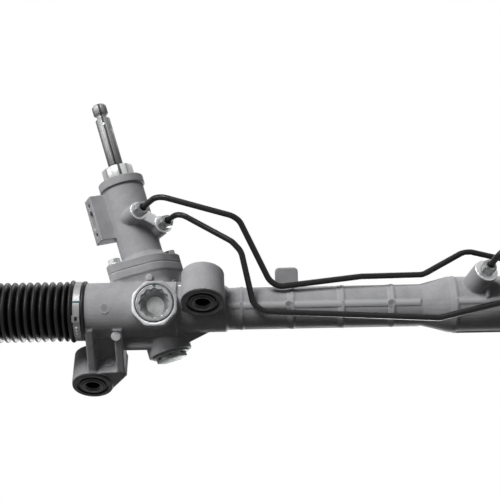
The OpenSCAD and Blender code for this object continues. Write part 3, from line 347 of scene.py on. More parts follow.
MATERIALS = {
    "cast_aluminium": cast_material(),
    "machined_steel": metal_material(
        "turned_steel", (0.4, 0.405, 0.41), (0.5, 0.505, 0.51), 5, 0.6, 0.26, 0.36),
    "plain_steel": metal_material(
        "plain_steel_skin", (0.26, 0.265, 0.27), (0.34, 0.345, 0.35), 6, 0.4, 0.36, 0.46),
    "zinc_plated_steel": metal_material(
        "zinc_plating", (0.34, 0.349, 0.342), (0.48, 0.49, 0.482), 3, 0.4, 0.34, 0.46),
    "black_coated_steel": metal_material(
        "black_coating", (0.006, 0.006, 0.0065), (0.011, 0.011, 0.0115), 5, 0.0, 0.26, 0.34, shine=0.25),
    "black_rubber": rubber_material(
        "black_rubber_skin", (0.004, 0.004, 0.0043), (0.009, 0.009, 0.0094), 0.4, 0.55),
    "bearing_plastic": rubber_material(
        "bearing_plastic_skin", (0.72, 0.69, 0.6), (0.8, 0.77, 0.68), 0.4, 0.5, 0.4),
    "bronze": metal_material(
        "sintered_bronze", (0.42, 0.29, 0.13), (0.5, 0.36, 0.18), 2, 0.8, 0.3, 0.45),
}
PLUG_STEEL = metal_material(
    "pressed_plug_steel", (0.22, 0.223, 0.226), (0.34, 0.343, 0.346), 7, 0.5, 0.3, 0.42)
NUT_STEEL = metal_material(
    "nut_steel", (0.17, 0.175, 0.172), (0.36, 0.365, 0.362), 2.5, 0.5, 0.24, 0.36)
BAND_STEEL = metal_material(
    "band_steel", (0.25, 0.252, 0.254), (0.36, 0.362, 0.364), 4, 0.3, 0.38, 0.48)
DULL_ZINC = metal_material(
    "dull_zinc", (0.27, 0.29, 0.285), (0.38, 0.405, 0.4), 9, 0.1, 0.46, 0.56, shine=0.2)
# Lighter copy of the band's steel for the clamp pips, a painted highlight
PIP_STEEL_PAINTED_HIGHLIGHT = metal_material(
    "pip_steel_painted_highlight", (0.75, 0.75, 0.755), (0.85, 0.85, 0.855), 3, 0.2, 0.2, 0.3)
# Painted reflections on the input shaft and the neck collar: light and dark stripes along them
SHAFT_PAINTED_REFLECTION_STOPS = (
    (0, 0.16), (0.08, 0.1), (0.14, 0.27), (0.2, 0.32), (0.44, 0.34), (0.49, 0.03), (0.56, 0.02),
    (0.62, 0.22), (0.8, 0.2), (0.88, 0.1), (1, 0.16))
COLLAR_PAINTED_REFLECTION_STOPS = (
    (0, 0.4), (0.1, 0.42), (0.14, 0.18), (0.19, 0.42), (0.45, 0.5), (0.54, 0.4), (0.58, 0.04),
    (0.63, 0.06), (0.67, 0.66), (0.8, 0.62), (0.85, 0.24), (0.9, 0.5), (1, 0.5))
COLLAR_STRIPES_HALF = 15
SHAFT_STEEL_PAINTED_REFLECTIONS = painted_reflection_material("shaft_steel_painted_reflections", PINION, SHAFT_D / 2, SHAFT_PAINTED_REFLECTION_STOPS, 0.5, 0.45)
COLLAR_STEEL_PAINTED_REFLECTIONS = painted_reflection_material(
    "collar_steel_painted_reflections", PINION, COLLAR_STRIPES_HALF, COLLAR_PAINTED_REFLECTION_STOPS, 0.36, 0.5)
PAINT = rubber_material("inspection_paint", (0.01, 0.075, 0.07), (0.012, 0.1, 0.095), 0.4, 0.5)
SLOT_OF = {s["node"]: s["material_slot"] for s in RECORD["subparts"]}
BODY_OF = {n: b for b, ns in RECORD["behaviour"]["bodies"].items() for n in ns}


# Mesh helpers

def link(name, mesh, slot, material=None):
    obj = bpy.data.objects.new(name, mesh)
    bpy.context.scene.collection.objects.link(obj)
    obj.data.materials.clear()
    obj.data.materials.append(material or MATERIALS[slot])
    return obj


def build(name, verts, faces, matrix, slot, sharp=35, material=None):
    """Mesh from millimetre points in a local frame."""
    scale = Matrix.Scale(MM, 4)
    mesh = bpy.data.meshes.new(name)
    mesh.from_pydata([scale @ (matrix @ Vector(v)) for v in verts], [], faces)
    bm = bmesh.new()
    bm.from_mesh(mesh)
    bmesh.ops.recalc_face_normals(bm, faces=bm.faces)
    bm.to_mesh(mesh)
    bm.free()
    smooth(mesh, sharp)
    return link(name, mesh, slot, material)


def smooth(mesh, sharp):
    mesh.shade_smooth()
    mesh.set_sharp_from_angle(angle=math.radians(sharp))


def revolve(profile, n, loop=False):
    """Verts and faces of (r, z) points turned about Z. loop joins the last point to the first."""
    angles = [2 * math.pi * k / n for k in range(n)]
    verts, rings = [], []
    for r, z in profile:
        if r < 1e-6:
            rings.append([len(verts)] * n)
            verts.append((0, 0, z))
        else:
            rings.append(list(range(len(verts), len(verts) + n)))
            verts += [(r * math.cos(a), r * math.sin(a), z) for a in angles]
    pairs = list(zip(rings, rings[1:])) + ([(rings[-1], rings[0])] if loop else [])
    faces = []
    for a, b in pairs:
        for k in range(n):
            m = (k + 1) % n
            f = [a[k], a[m], b[m], b[k]]
            f = [v for i, v in enumerate(f) if v not in f[:i]]
            if len(f) > 2:
                faces.append(f)
    return verts, faces


def sector(r0, r1, z0, z1, a0, a1):
    """Part of a ring between two angles in degrees."""
    n = 16
    corners = ((r0, z0), (r1, z0), (r1, z1), (r0, z1))
    verts, faces = [], []
    for k in range(n + 1):
        a = math.radians(a0 + (a1 - a0) * k / n)
        verts += [(r * math.cos(a), r * math.sin(a), z) for r, z in corners]
    for k in range(n):
        for i in range(4):
            j = (i + 1) % 4
            faces.append([4 * k + i, 4 * k + j, 4 * k + 4 + j, 4 * k + 4 + i])
    return verts, faces + [[3, 2, 1, 0], [4 * n, 4 * n + 1, 4 * n + 2, 4 * n + 3]]


def ring_faces(rings, n):
    """Faces between rings of n points."""
    faces = []
    for i in range(rings - 1):
        for k in range(n):
            m = (k + 1) % n
            faces.append([i * n + k, i * n + m, (i + 1) * n + m, (i + 1) * n + k])
    return faces


def row_faces(count, length, loop):
    """Faces between rows of points set round an axis. loop joins each row's last point to its first."""
    faces = []
    for k in range(count):
        j = (k + 1) % count
        for i in range(length if loop else length - 1):
            h = (i + 1) % length
            faces.append([k * length + i, j * length + i, j * length + h, k * length + h])
    return faces


def sweep(points, radius):
    """Round tube along points, with flat ends."""
    n = 20
    verts = []
    pts = [Vector(p) for p in points]
    normal = None
    for i, p in enumerate(pts):
        along = (pts[min(i + 1, len(pts) - 1)] - pts[max(i - 1, 0)]).normalized()
        if normal is None:
            normal = along.orthogonal().normalized()
        normal = (normal - along * normal.dot(along)).normalized()
        side = along.cross(normal)
        for k in range(n):
            a = 2 * math.pi * k / n
            verts.append(p + radius * (math.cos(a) * normal + math.sin(a) * side))
    last = (len(pts) - 1) * n
    return verts, ring_faces(len(pts), n) + [list(range(n))[::-1], list(range(last, last + n))]


def round_corners(points, largest):
    """Corner points of a bent line turned into a smooth path."""
    steps = 8
    pts = [Vector(p) for p in points]
    path = [pts[0]]
    for a, b, c in zip(pts, pts[1:], pts[2:]):
        u, v = (b - a).normalized(), (c - b).normalized()
        bend = u.angle(v)
        if bend < 1e-3:
            path.append(b)
            continue
        radius = min(largest, 0.48 * min((b - a).length, (c - b).length) / math.tan(bend / 2))
        w = u.cross(v).normalized()
        x = -w.cross(u)
        centre = b - u * radius * math.tan(bend / 2) - x * radius
        path += [centre + radius * (math.cos(bend * k / steps) * x + math.sin(bend * k / steps) * u)
                 for k in range(steps + 1)]
    return path + [pts[-1]]


def hexagon(across, height, bore, n=72):
    """Hexagon with both faces chamfered at its corners and a round bore."""
    flat = across / 2
    edge = flat * 0.97
    rows = []
    for k in range(n):
        a = 2 * math.pi * k / n
        r = flat / math.cos((a + math.pi / 6) % (math.pi / 3) - math.pi / 6)
        cut = max(0.0, r - edge) * 0.5
        c, s = math.cos(a), math.sin(a)
        line = [(bore, 0), (edge, 0), (r, cut), (r, height - cut), (edge, height), (bore, height)]
        rows.append([(q * c, q * s, z) for q, z in line])
    return [v for row in rows for v in row], row_faces(n, len(rows[0]), True)


def placed(shape, matrix):
    verts, faces = shape
    return [matrix @ Vector(v) for v in verts], faces


def together(*shapes):
    verts, faces = [], []
    for v, f in shapes:
        faces += [[i + len(verts) for i in face] for face in f]
        verts += list(v)
    return verts, faces


def finish_piece(obj, body, *nodes):
    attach(obj, body)
    if nodes:
        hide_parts(*nodes)


def local_points(mesh, matrix):
    """Vertices of a mesh in millimetres in a local frame."""
    co = np.zeros(len(mesh.vertices) * 3)
    mesh.vertices.foreach_get("co", co)
    inv = np.array(matrix.inverted())
    return (co.reshape(-1, 3) / MM) @ inv[:3, :3].T + inv[:3, 3]


def welded_copy(node, merge_flat=False):
    """Copy of a solid's mesh with doubled points joined, and its flat faces merged where asked."""
    mesh = NODES[node].data.copy()
    bm = bmesh.new()
    bm.from_mesh(mesh)
    bmesh.ops.remove_doubles(bm, verts=bm.verts, dist=1e-6)
    if merge_flat:
        bmesh.ops.dissolve_limit(bm, angle_limit=math.radians(0.3), verts=bm.verts, edges=bm.edges)
    bm.to_mesh(mesh)
    bm.free()
    return mesh


def apply_modifiers(obj):
    dg = bpy.context.evaluated_depsgraph_get()
    mesh = bpy.data.meshes.new_from_object(obj.evaluated_get(dg))
    obj.modifiers.clear()
    obj.data = mesh


# Castings: the solid's own surface, remeshed so that its corners blend as a die casting's do

def edge_fade(d, width):
    """1 inside (d below 0), fading to 0 over width."""
    return np.clip(1 - d / width, 0, 1)


def disc_mask(p, z, radius):
    """Milled face: a flat disc at height z round the local Z axis."""
    r = np.hypot(p[:, 0], p[:, 1])
    return edge_fade(np.abs(p[:, 2] - z) - MILLED_DEPTH, 0.3) * edge_fade(r - radius, 0.4)


def boss_face_painted_sheen(p):
    """Face of the yoke boss: a milled disc whose milled tone is a painted reflection, bright at its lower
    outer side and dull toward the crossing.
    """
    r = np.hypot(p[:, 0], p[:, 1]) + 1e-6
    bright = np.clip(0.42 - 0.42 * (0.8 * p[:, 0] + 0.6 * p[:, 1]) / r, 0.04, 0.85)
    return disc_mask(p, YOKE_FACE, YOKE_BOSS_D / 2 + 3) * bright


def web_mask(p):
    """Milled web between the two ports of the tower, in the first port's frame."""
    across = np.array((PORTS[0][1] - PORTS[1][1], PORTS[1][0] - PORTS[0][0]))
    length = np.hypot(*across)
    t = np.clip(p[:, :2] @ across / length ** 2, 0, 1)
    off = np.hypot(p[:, 0] - t * across[0], p[:, 1] - t * across[1])
    level = np.abs(p[:, 2] - PORT_REACH + 1) - MILLED_DEPTH
    return edge_fade(level, 0.3) * edge_fade(off - WEB_HALF_WIDTH, 0.4)


def eight_sided(p):
    """Growth of the yoke boss's outer wall toward its eight corners."""
    boss_r = YOKE_BOSS_D / 2
    r = np.hypot(p[:, 0], p[:, 1])
    a = np.arctan2(p[:, 1], p[:, 0]) + math.pi / 8
    corner = np.minimum((boss_r - 0.4) / np.cos((a % (math.pi / 4)) - math.pi / 8), boss_r + 0.8)
    near = np.clip((r - boss_r + 2.2) / 1.5, 0, 1) * np.clip(boss_r + 1.5 - r, 0, 1)
    near = near * np.clip((p[:, 2] - 23) / 4, 0, 1)
    grown = p.copy()
    grown[:, :2] *= (1 + near * (corner / boss_r - 1))[:, None]
    return grown


def casting(node, voxel, masks, shapes=()):
    obj = link(node + "_casting", welded_copy(node), "cast_aluminium")
    grid = obj.modifiers.new("grid", "REMESH")
    grid.mode = "VOXEL"
    grid.voxel_size = voxel * MM
    grid.use_smooth_shade = True
    soften = obj.modifiers.new("soften", "SMOOTH")
    soften.factor = 0.5
    soften.iterations = SOFTEN_ROUNDS
    apply_modifiers(obj)
    for matrix, shape in shapes:
        full = np.array(matrix)
        moved = shape(local_points(obj.data, matrix)) @ full[:3, :3].T + full[:3, 3]
        obj.data.vertices.foreach_set("co", (moved * MM).astype(np.float32).ravel())
    obj.data.update()
    obj.data.shade_smooth()
    value = np.zeros(len(obj.data.vertices))
    for matrix, kind in masks:
        value = np.maximum(value, kind(local_points(obj.data, matrix)))
    # Milled faces, and on the yoke boss face a painted reflection that changes round it
    layer = obj.data.attributes.new("milled", "FLOAT", "POINT")
    layer.data.foreach_set("value", value.astype(np.float32))
    finish_piece(obj, "housing", node)


def cylinder_port_masks():
    frames = [toward(from_slant(face), slant_dir(direction)) for face, direction in CYLINDER_PORTS]
    return [(place, lambda p: disc_mask(p, 0, CYLINDER_PORT_FACE_R)) for place in frames]


def tower_port_masks():
    return [(port_frame(port), lambda p: disc_mask(p, PORT_REACH, TOWER_PORT_FACE_R)) for port in PORTS]


casting("gear_housing", 0.9, cylinder_port_masks() + [(YOKE, boss_face_painted_sheen)], [(YOKE, eight_sided)])
casting("valve_housing", 0.65, tower_port_masks() + [(port_frame(PORTS[0]), web_mask)])


# Crisp cast details that the soft skin would lose: rings, parting lands and ejector marks

def band(radius, x):
    """Parting ring: a thin ridge with a low shelf on its left."""
    foot = radius - 2
    shelf = radius + SHELF_HEIGHT
    top = radius + RING_HEIGHT
    left, right = -SHELF_WIDTH, RING_HALF_WIDTH
    profile = [(foot, left), (radius + 0.05, left), (shelf, left + 0.4), (shelf, -right),
               (top, 0.3 - right), (top, right - 0.4), (radius + 0.05, right), (foot, right)]
    return placed(revolve(profile, 128, True), RACK @ move(x, 0, 0) @ turn("Y", 90))


def land(x0, x1, radius, low, high):
    """Flat strip along the front, with a sharp lower edge, in the slanted frame."""
    front = -radius - LAND_HEIGHT
    section = [(front + 4, low), (front + 0.1, low), (front, low + 0.1), (front, high - 1.2),
               (front + 1.1, high), (front + 4, high)]
    verts = [(x, y, z) for x in (x0, x1) for y, z in section]
    n = len(section)
    faces = [[k, (k + 1) % n, n + (k + 1) % n, n + k] for k in range(n)]
    faces += [list(range(n))[::-1], list(range(n, 2 * n))]
    return placed((verts, faces), SLANT)


def ejector_mark(place, size):
    """Round print of an ejector pin, a little proud of its wall."""
    profile = [(0, 0.1), (size - 0.6, 0.1), (size - 0.4, 0.35), (size, 0.35), (size + 0.1, -2), (0, -2)]
    return placed(revolve(profile, 48), place)


def facing(along, up, front):
    """Frame of a mark on the front, in the slanted frame, that faces away from the tube's axis."""
    return toward(from_slant((along, up, front)), slant_dir((0, up, front)))


details = [band(TUBE_D / 2, x) for x in RING_X]
details += [band(CYLINDER_D / 2, x) for x in CYLINDER_RING_X]
spans = list(zip(RING_X, RING_X[1:])) + [(RING_X[-1], TUBE_X1 - 1)]
details += [land(a + 1.5, b - 1.5, TUBE_D / 2, 0.6, 7.2) for a, b in spans]
details.append(land(CYLINDER_X0 + 8, CYLINDER_X1 - 8, CYLINDER_D / 2, 1.6, 8))
details.append(ejector_mark(facing(*BARREL_MARK), 4.6))
for along, rise, size in TUBE_MARKS:
    place = from_slant((along, rise, TUBE_D / 2 + 0.5))
    details.append(ejector_mark(toward(place, slant_dir((0, 0, 1))), size))
details.append(ejector_mark(toward(RACK @ Vector(FOOT_MARK), (0, -1, 0)), 4.2))
verts, faces = together(*details)
piece = build("cast_rings_and_marks", verts, faces, Matrix.Identity(4), "cast_aluminium", 50)
finish_piece(piece, "housing")


# Bellows, in an inner part and an outer part, split at a valley

def fold(z0, z1, r0, r1, ridge):
    """Rounded fold between two valleys, without its end points."""
    n = 12
    pts = []
    for k in range(1, n):
        t = k / n
        base = r0 + (r1 - r0) * t
        pts.append((base + (ridge - base) * math.sin(math.pi * t) ** 0.62, z0 + (z1 - z0) * t))
    return pts


def bellows_outline():
    """Outer (r, z) points with rounded folds, and the place in the list where each valley lies."""
    small = ROD_D / 2 + BELLOWS_WALL + 3
    step = (BELLOWS_D / 2 - small) / (BELLOWS_TAPER + 1)
    start = NECK_LEN - 1.5
    count = BELLOWS_FULL + BELLOWS_TAPER
    tail = ROD_D / 2 + AIR + BELLOWS_WALL
    lip = CUFF_R + 1.6
    # Lip over the barrel's end, seat of the clamp and a higher first fold
    pts = [(BARREL_D / 2 - 0.3, -2.4), (lip - 0.9, -2.2), (lip - 0.2, -1.4), (lip, -0.5), (lip - 0.2, 0.4),
           (lip - 0.9, 1.2), (CUFF_R, 1.5), (CUFF_R, CLAMP_Z1)]
    pts += fold(CLAMP_Z1, start + 1.1, CUFF_R, BELLOWS_D / 2 - 6, BELLOWS_D / 2 + 1.2)
    valleys = []
    for i in range(count):
        ridge = BELLOWS_D / 2 - max(0, i - BELLOWS_FULL + 1) * step
        valley = max(small - 2, BELLOWS_D / 2 - FOLD_DEPTH - max(0, i - BELLOWS_FULL) * step)
        after = max(small - 2, BELLOWS_D / 2 - FOLD_DEPTH - max(0, i + 1 - BELLOWS_FULL) * step)
        z = start + i * BELLOWS_PITCH + (0 if i else 1.1)
        valleys.append(len(pts))
        pts.append((valley, z))
        pts += fold(z, start + (i + 1) * BELLOWS_PITCH, valley, after, ridge)
    end = start + count * BELLOWS_PITCH
    pts += [(tail + 0.6, end), (tail, end + 1.5),
            (tail, end + TAIL_LEN - 0.5), (tail - 0.4, end + TAIL_LEN)]
    return pts, valleys, end


def inward(pts, wall):
    """The outline's inner side, at the wall's thickness, kept clear of the rod."""
    out = []
    for i, (r, z) in enumerate(pts):
        (r0, z0), (r1, z1) = pts[max(i - 1, 0)], pts[min(i + 1, len(pts) - 1)]
        length = math.hypot(r1 - r0, z1 - z0)
        nr, nz = (z1 - z0) / length, -(r1 - r0) / length
        out.append((max(r - wall * nr, ROD_D / 2 + AIR), z - wall * nz * 0.35))
    return out


def bellows(side, end_frame):
    pts, valleys, end = bellows_outline()
    split = valleys[SPLIT_VALLEY]
    inner = inward(pts, BELLOWS_SKIN)
    parts = (("inner", pts[:split + 1], inner[:split + 1]), ("outer", pts[split:], inner[split:]))
    for name, outer_line, inner_line in parts:
        verts, faces = revolve(outer_line + inner_line[::-1], 96, True)
        obj = build(f"bellows_{side}_{name}", verts, faces, end_frame, "black_rubber", 60)
        if name == "inner":
            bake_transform(obj)
        else:
            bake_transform(obj)
        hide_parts(f"bellows_{side}")


bellows("left", LEFT_END)
bellows("right", RIGHT_END)


# Hydraulic lines

def port_point(p, out):
    a = math.radians(PORT_TURN)
    reach = PORT_REACH + out
    return PINION @ Vector((reach * math.cos(a) + p[0] * math.sin(a),
                            -reach * math.sin(a) + p[0] * math.cos(a), p[1]))


ROUTE_A = [(77, 92, 26), (84, 87, 25), (112, 28, 18), (121, 21.5, 16), (203, 30, 12), (265, 30.5, 8),
           (306, 51.5, 0), (314, 52, -1), (337, 46.5, -5), (356, 42, -3), (376, 50, 14)]
ROUTE_B = [(76, 67, 20), (85, 57, 22), (96, 5, 28), (106, -2, 29), (200, -7, 30), (276, -11, 35),
           (455, 31, 44)]


def above(face, direction, distance):
    return from_slant(face) + slant_dir(direction) * distance


line_a = [port_point(PORTS[0], 2), port_point(PORTS[0], 38)] + [from_slant(p) for p in ROUTE_A] + [
    from_slant((376, 74, 44)), above(PORT1_FACE, PORT1_DIR, 34), above(PORT1_FACE, PORT1_DIR, 2)]
line_b = [port_point(PORTS[1], 2), port_point(PORTS[1], 30)] + [from_slant(p) for p in ROUTE_B] + [
    above(PORT2_FACE, PORT2_DIR, 26), above(PORT2_FACE, PORT2_DIR, 2)]
for key, points in (("a", line_a), ("b", line_b)):
    verts, faces = sweep(round_corners(points, LINE_BEND), LINE_D / 2)
    piece = build(f"hydraulic_line_{key}", verts, faces, Matrix.Identity(4), "black_coated_steel")
    finish_piece(piece, "housing", f"transfer_line_{key}")

nut_frames = [toward(port_point(p, 0), port_point(p, 1) - port_point(p, 0)) for p in PORTS]
nut_frames += [toward(from_slant(face), slant_dir(direction)) for face, direction in CYLINDER_PORTS]
stem = [(3.1, -8.5), (5.2, -8.5), (5.2, 0.02), (3.1, 0.02)]
nut_shapes = []
for place in nut_frames:
    nut_shapes.append(placed(hexagon(NUT_HEX, NUT_LEN, LINE_D / 2 + NUT_GAP), place @ move(0, 0, 0.05)))
    nut_shapes.append(placed(revolve(stem, 48, True), place))
verts, faces = together(*nut_shapes)
piece = build("hexagon_line_nuts", verts, faces, Matrix.Identity(4), "zinc_plated_steel", 25, NUT_STEEL)
finish_piece(piece, "housing", "line_nuts")


# Flange bolts with captive washers

washer = [(0, 0), (7.6, 0), (8, 0.4), (7.8, 1.2), (6.6, 1.7), (0, 1.7)]
shank = [(0, -17.5), (3.9, -17.5), (3.9, 0), (0, 0)]
bolt_shapes = []
for x, y in EARS:
    place = PINION @ move(x, y, PART_PLANE + FLANGE_T)
    bolt_shapes.append(placed(revolve(washer, 48), place))
    bolt_shapes.append(placed(hexagon(BOLT_HEX, 4.4, 0.01, 48), place @ move(0, 0, 1.6)))
    bolt_shapes.append(placed(revolve(shank, 32), place))
verts, faces = together(*bolt_shapes)
piece = build("flange_bolts", verts, faces, Matrix.Identity(4), "zinc_plated_steel", 25)
finish_piece(piece, "housing", "housing_bolts")


# Carried-over solids: their own shape with broken edges

def dressed(node, width, material=None, sharp=40):
    mesh = welded_copy(node, merge_flat=width > 0)
    obj = link(node + "_dressed", mesh, SLOT_OF[node], material)
    if width:
        rim = obj.modifiers.new("rim", "BEVEL")
        rim.width = width * MM
        rim.segments = 2
        rim.limit_method = "ANGLE"
        rim.angle_limit = math.radians(32)
        rim.use_clamp_overlap = True
        apply_modifiers(obj)
    smooth(obj.data, sharp)
    finish_piece(obj, BODY_OF[node], node)


for cad_name, rim_width in (
        ("gallery_plug", 0.5),
        ("front_bush_rubber", 0.6), ("rear_bush_rubber", 0.6),
        ("front_bush_sleeve", 0.3), ("rear_bush_sleeve", 0.3),
        ("rod_clip_left", 0.15), ("rod_clip_right", 0.15),
        ("jam_nut_left", 0.3), ("jam_nut_right", 0.3), ("tie_rod_left", 0.2), ("tie_rod_right", 0.2)):
    dressed(cad_name, rim_width)
dressed("neck_collar", 0.5, COLLAR_STEEL_PAINTED_REFLECTIONS)
dressed("input_shaft", 0, SHAFT_STEEL_PAINTED_REFLECTIONS, 30)
dressed("lower_plug", 0.4, DULL_ZINC)


# Yoke plug: a twelve-point socket that narrows to a round floor, and the paint mark on its rim

def yoke_plug():
    """The plug with its lobed socket, in rows from the foot of its rim to the middle of its floor."""
    n = 240
    rows = []
    for k in range(n):
        a = 2 * math.pi * k / n
        lobe = abs(((a / (math.pi / 6)) % 1) * 2 - 1)
        star = STAR_ROOT_R + STAR_REACH * lobe ** 1.4
        # Radius, and depth under the plug's top
        line = [(PLUG_RIM_R, PLUG_HEIGHT), (PLUG_RIM_R, 0.8), (PLUG_RIM_R - 0.8, 0.1), (PLUG_RIM_R - 1.1, 0),
                (PLUG_RIM_R - 1.4, 0.3), (star + 0.5, 0.3), (star, 0.8), (star, STAR_DEPTH),
                (STAR_ROOT_R - 0.3, STAR_DEPTH + 0.6), (SOCKET_FLOOR_R + 0.4, SOCKET_DEPTH - 0.9),
                (SOCKET_FLOOR_R, SOCKET_DEPTH - 0.1), (0.02, SOCKET_DEPTH)]
        rows.append([(r * math.cos(a), r * math.sin(a), PLUG_TOP - depth) for r, depth in line])
    m = len(rows[0])
    ends = [[k * m for k in range(n)], [k * m + m - 1 for k in range(n)]]
    return [v for row in rows for v in row], row_faces(n, m, False) + ends


verts, faces = yoke_plug()
piece = build("twelve_point_plug", verts, faces, YOKE, "zinc_plated_steel", 25, PLUG_STEEL)
finish_piece(piece, "housing", "yoke_plug")
verts, faces = sector(PLUG_RIM_R - 1.9, PLUG_RIM_R, YOKE_FACE, PLUG_TOP + 0.12, *PLUG_PAINT)
finish_piece(build("paint_on_plug", verts, faces, YOKE, "bearing_plastic", 25, PAINT), "housing")


# Threads on the tie rods, over their plain cylinders

def thread(z0, length, root, crest):
    pitch = 1.5
    per_turn = 6
    n = 48
    rows = int(length / pitch * per_turn)
    run = rows * pitch / per_turn
    verts = []
    for i in range(rows + 1):
        z = i * pitch / per_turn
        fade = min(1, z / pitch, (run - z) / pitch)
        for k in range(n):
            a = 2 * math.pi * k / n
            t = (z / pitch - k / n) % 1
            r = root + (crest - root) * (1 - abs(2 * t - 1)) * fade
            verts.append((r * math.cos(a), r * math.sin(a), z0 + z))
    return verts, ring_faces(rows + 1, n)


for side, ball in (("left", LEFT_BALL), ("right", RIGHT_BALL)):
    nut_thread = thread(ROD_LEN - THREAD_LEN + 0.5, 21, 6.52, 7.0)
    end_thread = thread(ROD_LEN - 37, 35, 6.42, 6.95)
    verts, faces = together(nut_thread, end_thread)
    piece = build(f"tie_rod_thread_{side}", verts, faces, ball, "black_coated_steel", 25)
    finish_piece(piece, f"tie_rod_{side}")


# Band clamps round the bellows

def band_clamp(side, end_frame, turned):
    """Crimped band round the bellows, with a slotted ear whose slot floor is a black strip of painted shade,
    and three pips in lighter steel as painted highlights.
    """
    r, z0, z1 = CUFF_R, CLAMP_Z0, CLAMP_Z1
    a0, a1 = CLAMP_EAR
    ring = [(r + 0.1, z0), (r + 0.8, z0), (r + 0.95, z0 + 0.2), (r + 0.95, z1 - 0.4), (r + 0.8, z1 - 0.2),
            (r + 0.1, z1 - 0.2)]
    rails = [sector(r + 0.9, r + 2, z0, z0 + 2.3, a0, a1),
             sector(r + 0.9, r + 2, z1 - 2.1, z1 + 0.4, a0, a1),
             sector(r + 0.9, r + 2, z0, z1, a0, a0 + 2.6),
             sector(r + 0.9, r + 2, z0, z1, a1 - 2.6, a1)]
    base = end_frame @ turn("Z", turned)
    verts, faces = together(revolve(ring, 128, True), *rails)
    piece = build(f"band_clamp_{side}", verts, faces, base, "zinc_plated_steel", 25, BAND_STEEL)
    finish_piece(piece, "housing", f"bellows_clamp_{side}")
    pip = revolve([(0, 1.1), (0.7, 1), (1.1, 0.6), (1.3, -0.2)], 16)
    pips = []
    for angle in CLAMP_PIPS:
        place = turn("Z", angle) @ move(r + 0.9, 0, (z0 + z1) / 2) @ turn("Y", 90)
        pips.append(placed(pip, place))
    verts, faces = together(*pips)
    # The pips in lighter steel: painted highlights
    piece = build(f"clamp_pips_painted_highlight_{side}", verts, faces, base, "zinc_plated_steel", 25, PIP_STEEL_PAINTED_HIGHLIGHT)
    finish_piece(piece, "housing")
    # Black strip in the ear's slot: painted shade
    verts, faces = sector(r + 0.8, r + 1.1, z0 + 2.2, z1 - 2, a0 + 2.5, a1 - 2.5)
    finish_piece(build(f"clamp_slot_painted_shade_{side}", verts, faces, base, "black_coated_steel", 25), "housing")


band_clamp("left", LEFT_END, 0)
band_clamp("right", RIGHT_END, 180)
verts, faces = sector(CUFF_R + 0.5, CUFF_R + 1.1, CLAMP_Z0 - 0.8, CLAMP_Z1, *CLAMP_PAINT)
finish_piece(build("paint_on_clamp", verts, faces, LEFT_END, "bearing_plastic", 25, PAINT), "housing")


# Solids that are shown as they are

for cad_name, cad_object in NODES.items():
    if not cad_object.hide_render:
        cad_object.data.materials.clear()
        cad_object.data.materials.append(MATERIALS[SLOT_OF[cad_name]])


# Camera, in metres: the photograph looks up at the gear from below its front

IMAGE = 500
SENSOR = 36
DISTANCE = 1.1
LENS_PIXELS = 1100
ELEVATION = -39
ROLL = 1.1
AIM = Vector((0.0467, 0.0034, 0.0652))
tilt = math.radians(ELEVATION)
roll = math.radians(ROLL)
back = Vector((0, -math.cos(tilt), math.sin(tilt)))
right = Vector((1, 0, 0))
up = back.cross(right)
right_rolled = math.cos(roll) * right - math.sin(roll) * up
up_rolled = math.cos(roll) * up + math.sin(roll) * right
camera = bpy.data.objects.new("camera", bpy.data.cameras.new("camera"))
bpy.context.scene.collection.objects.link(camera)
camera.matrix_world = Matrix.Translation(AIM + back * DISTANCE) @ Matrix(
    (right_rolled, up_rolled, back)).transposed().to_4x4()
camera.data.sensor_width = SENSOR
camera.data.lens = SENSOR * LENS_PIXELS / IMAGE
camera.data.clip_start = 0.01
camera.data.clip_end = 20
bpy.context.scene.camera = camera


# Floor, in metres: pale, a little below the gear, and clear from below, where the camera is

def seen_rays(tree):
    """1 for the rays that see the background: camera, glossy and transmission rays."""
    rays = tree.nodes.new("ShaderNodeLightPath")
    either = math_node(tree, "MAXIMUM", rays.outputs["Is Camera Ray"], rays.outputs["Is Glossy Ray"])
    return math_node(tree, "MAXIMUM", either, rays.outputs["Is Transmission Ray"])


FLOOR_DROP = 0.03
FLOOR_HALF = 7.0
FLOOR_LIT = (0.08, 0.08, 0.08)
FLOOR_SEEN = (0.9, 0.9, 0.902)


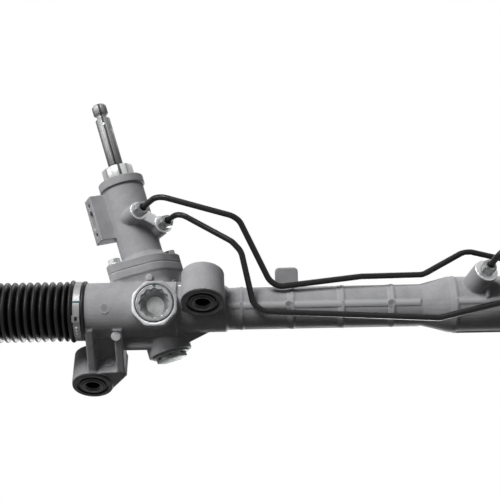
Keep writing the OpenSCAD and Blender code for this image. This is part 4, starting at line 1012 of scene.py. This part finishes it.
def stage_floor():
    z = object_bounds()[0].z - FLOOR_DROP
    corners = [(x * FLOOR_HALF, y * FLOOR_HALF, z) for x, y in ((-1, -1), (1, -1), (1, 1), (-1, 1))]
    mesh = bpy.data.meshes.new("floor")
    mesh.from_pydata(corners, [], [(0, 1, 2, 3)])
    obj = bpy.data.objects.new("floor", mesh)
    bpy.context.scene.collection.objects.link(obj)
    mat, tree, shader, co = new_material("pale_floor")
    seen = seen_rays(tree)
    tree.links.new(mix_color(tree, seen, FLOOR_LIT, FLOOR_SEEN), shader.inputs["Base Color"])
    shader.inputs["Roughness"].default_value = 0.9
    shader.inputs["Specular IOR Level"].default_value = 0.1
    # White toward its edges, so that it runs out into the surround
    length = tree.nodes.new("ShaderNodeVectorMath")
    length.operation = "LENGTH"
    tree.links.new(co, length.inputs[0])
    white = tree.nodes.new("ShaderNodeEmission")
    far = remap(tree, length.outputs["Value"], 0.8, 3.5, 0.55, 1)
    lit = tree.nodes.new("ShaderNodeMixShader")
    tree.links.new(math_node(tree, "MULTIPLY", far, seen), lit.inputs["Fac"])
    tree.links.new(shader.outputs["BSDF"], lit.inputs[1])
    tree.links.new(white.outputs["Emission"], lit.inputs[2])
    out = [n for n in tree.nodes if n.type == "OUTPUT_MATERIAL"][0]
    clear = tree.nodes.new("ShaderNodeBsdfTransparent")
    side = tree.nodes.new("ShaderNodeNewGeometry")
    mix = tree.nodes.new("ShaderNodeMixShader")
    tree.links.new(side.outputs["Backfacing"], mix.inputs["Fac"])
    tree.links.new(lit.outputs["Shader"], mix.inputs[1])
    tree.links.new(clear.outputs["BSDF"], mix.inputs[2])
    tree.links.new(mix.outputs["Shader"], out.inputs["Surface"])
    mesh.materials.append(mat)


stage_floor()


# Light: a soft lamp in front, weaker ones above, behind and at the left, and a surround that looks white

def lamp(name, location, aim, size, power):
    data = bpy.data.lights.new(name, "AREA")
    data.shape = "DISK"
    data.size = size
    data.energy = power
    obj = bpy.data.objects.new(name, data)
    bpy.context.scene.collection.objects.link(obj)
    obj.location = location
    obj.rotation_mode = "QUATERNION"
    obj.rotation_quaternion = (Vector(aim) - Vector(location)).to_track_quat("-Z", "Y")


GEAR_MIDDLE = (0.05, 0, 0.05)
BARREL_MIDDLE = (-0.1, 0.02, 0)
lamp("key", (-0.85, -2.15, 0.72), GEAR_MIDDLE, 1.2, 57)
lamp("top", (0.5, 0.5, 2.3), GEAR_MIDDLE, 1.0, 14)
lamp("back", (0.6, 2.2, 0.35), GEAR_MIDDLE, 1.0, 26)
lamp("left", (-2.2, -1.1, -0.05), BARREL_MIDDLE, 0.9, 34)

world = bpy.data.worlds.new("world")
bpy.context.scene.world = world
world.use_nodes = True
tree = world.node_tree
tree.nodes.clear()
out = tree.nodes.new("ShaderNodeOutputWorld")
glow = tree.nodes.new("ShaderNodeBackground")
surround = mix_color(tree, seen_rays(tree), (0.025, 0.025, 0.0255), (1.0, 1.0, 1.0))
tree.links.new(surround, glow.inputs["Color"])
glow.inputs["Strength"].default_value = 1.0
tree.links.new(glow.outputs["Background"], out.inputs["Surface"])

bpy.context.scene.view_settings.view_transform = "Standard"
